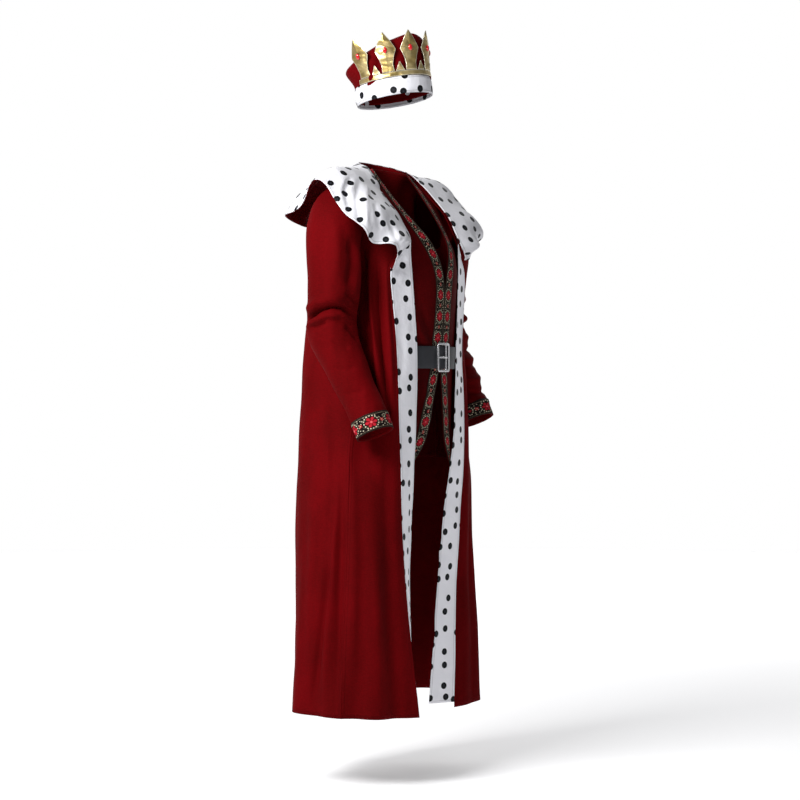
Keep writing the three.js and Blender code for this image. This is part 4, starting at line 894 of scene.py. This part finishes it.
# Buckle: a flat rounded frame with an inner bar and a prong, cast in bright silver metal with its
# edges rounded off.
def copied(node, name):
    """A CAD solid as one mesh with flat faces in one piece, ready for rounding its edges."""
    piece = bpy.data.objects.new(name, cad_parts[node].data.copy())
    bpy.context.scene.collection.objects.link(piece)
    bpy.context.view_layer.objects.active = piece
    piece.select_set(True)
    bpy.ops.object.mode_set(mode="EDIT")
    bpy.ops.mesh.select_all(action="SELECT")
    bpy.ops.mesh.remove_doubles(threshold=WELD)
    bpy.ops.mesh.dissolve_limited(angle_limit=math.radians(1))
    bpy.ops.object.mode_set(mode="OBJECT")
    piece.select_set(False)
    return piece


def silver(name):
    """Bright plating with fine rubbing marks."""
    plating = Finish(name, {"Metallic": 1.0})
    place = plating.node("TexCoord", {}, {}, "Object")
    rubbed = plating.grain(plating.stretched(place, (90, 90, 1200)), 1, 2)
    plating.feed("Base Color", plating.mix(rubbed, dye(214, 214, 218), dye(240, 240, 242)))
    plating.feed("Roughness", 0.16 + rubbed * 0.14)
    plating.emboss(rubbed, 0.00008)
    return plating.material


BRIGHT_SILVER = silver("bright_silver")
for node, rounding in (("buckle_frame", 0.0011), ("buckle_prong", 0.0007)):
    casting = copied(node, node + "_casting")
    modified(casting, "BEVEL", {"width": rounding, "segments": 3, "limit_method": "ANGLE"})
    sewn(casting, 0, BRIGHT_SILVER, "buckle_metal", node)


# Hat: a band of dotted satin folded over a stiff core, and a soft velvet cap gathered into it,
# which rises inside the crown and is fuller at the back.
HAT_MIDDLE = (0, 0.01, 0.23)
HAT_BAND_CORE = 0.0025
HAT_BAND_SWELL = 0.0022
HAT_BAND_ROUNDING = 0.012
HAT_BAND_CUT = (0.045, 0.60)
hat_band = outer_sheet("hat_band", "hat_band_cloth", HAT_MIDDLE)
ribbon_layout(hat_band, HAT_BAND_CUT[0])
finer(hat_band, 3)
edge_distance(hat_band)
rise = np.zeros(len(hat_band.data.vertices))
hat_band.data.attributes["edge"].data.foreach_get("value", rise)
push(hat_band, HAT_BAND_SWELL * (np.clip(rise / HAT_BAND_ROUNDING, 0, 1) - 1))
ripple(hat_band, (0.02, 0.02, 0.02), 0.0008)
hat_band.data.attributes.remove(hat_band.data.attributes["edge"])
# The hat band wears the collar's satin, painted darker as painted shade.
sewn(hat_band, HAT_BAND_CORE, COLLAR_SATIN_PAINTED_SHADE, "dotted_satin", "hat_band")

CAP_STROKES = [
    (8, -5, (-70, 1800), (-78, 1772), (-74, 1740)),
    (9, -5, (-40, 1822), (-44, 1780), (-40, 1748)),
    (9, 4, (-58, 1816), (-60, 1780), (-56, 1750)),
    (8, -4, (-12, 1830), (-10, 1795), (-14, 1760)),
    (8, -4, (30, 1840), (34, 1810), (30, 1775)),
]
CAP_BACK_FULLNESS = [(30, 8, (-80, 1814), (80, 1814))]
cap = outer_sheet("hat_cap", "hat_cap_cloth", HAT_MIDDLE)
finer(cap, 3)
for turn in (-57, 63, 180):
    crease(cap, turn, CAP_STROKES)
crease(cap, 180, CAP_BACK_FULLNESS)
ripple(cap, (0.035, 0.035, 0.035), 0.004)
sewn(cap, CLOTH, WINE_VELVET, "cap_velvet", "hat_cap")


# Crown: gold metallic cloth bonded to a stiff backing, a strip on the band with tall leaf-shaped
# points and small peaks, all a little crumpled, and a red stone glued on each tall point.
def lame(name):
    """Gold foil cloth: bright, with soft dents, fine crumpling and a paler cut edge. Its colour is
    painted darker in the dents and lighter on their rises, as painted shade and painted highlight.
    """
    foil = Finish(name, {"Metallic": 0.9, "Sheen Weight": 0.1})
    place = foil.node("TexCoord", {}, {}, "Object")
    folds = abs(foil.grain(foil.stretched(place, (16, 16, 38)), 1, 1) - 0.5)
    dents = foil.grain(place, 30, 1)
    knit = foil.grain(place, 1500, 2)
    edge = foil.node("Attribute", {"attribute_name": "edge"}, {}, "Fac")
    # Painted shade in the dents and painted highlight on their rises, following the dents' bump.
    gold = foil.mix(foil.between(dents, 0.35, 0.65), dye(160, 138, 84), dye(196, 176, 124))
    foil.feed("Base Color", foil.mix(foil.between(edge, 0.0018, 0.0008), gold, dye(232, 224, 196)))
    foil.feed("Roughness", 0.36 + knit * 0.12)
    foil.emboss(folds + dents * 0.2 + knit * 0.004, 0.014)
    return foil.material


GOLD_LAME = lame("gold_lame")
CROWN_WALL = 0.0016
CROWN_FOLD = math.radians(65)
CROWN_NODES = sorted(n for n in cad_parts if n.startswith(("crown_point", "crown_peak")))
for node in ["crown_strip"] + CROWN_NODES:
    leaf = outer_sheet(node, node + "_lame", HAT_MIDDLE, 0, CROWN_FOLD)
    finer(leaf, 3, "SIMPLE")
    modified(leaf, "SMOOTH", {"factor": 0.5, "iterations": 2})
    ripple(leaf, (0.022, 0.022, 0.030), 0.0014)
    sewn(leaf, CROWN_WALL, GOLD_LAME, "gold_lame", node)

RED_STONE = Finish("red_stone", {"Roughness": 0.08, "Coat Weight": 1.0, "Coat Roughness": 0.03})
clouds = RED_STONE.grain(RED_STONE.node("TexCoord", {}, {}, "Object"), 160, 2)
RED_STONE.feed("Base Color", RED_STONE.mix(clouds, dye(150, 4, 14), dye(226, 20, 34)))
STONE_EDGE = {"width": 0.0002, "segments": 1, "limit_method": "ANGLE", "angle_limit": 0.9}
STONE_SWELL = 0.0009
for number in range(1, 8):
    node = f"gem_{number}"
    stone = copied(node, node + "_stone")
    modified(stone, "BEVEL", STONE_EDGE)
    finer(stone, 2)
    push(stone, [STONE_SWELL] * len(stone.data.vertices))
    sewn(stone, 0, RED_STONE.material, "red_stone", node)
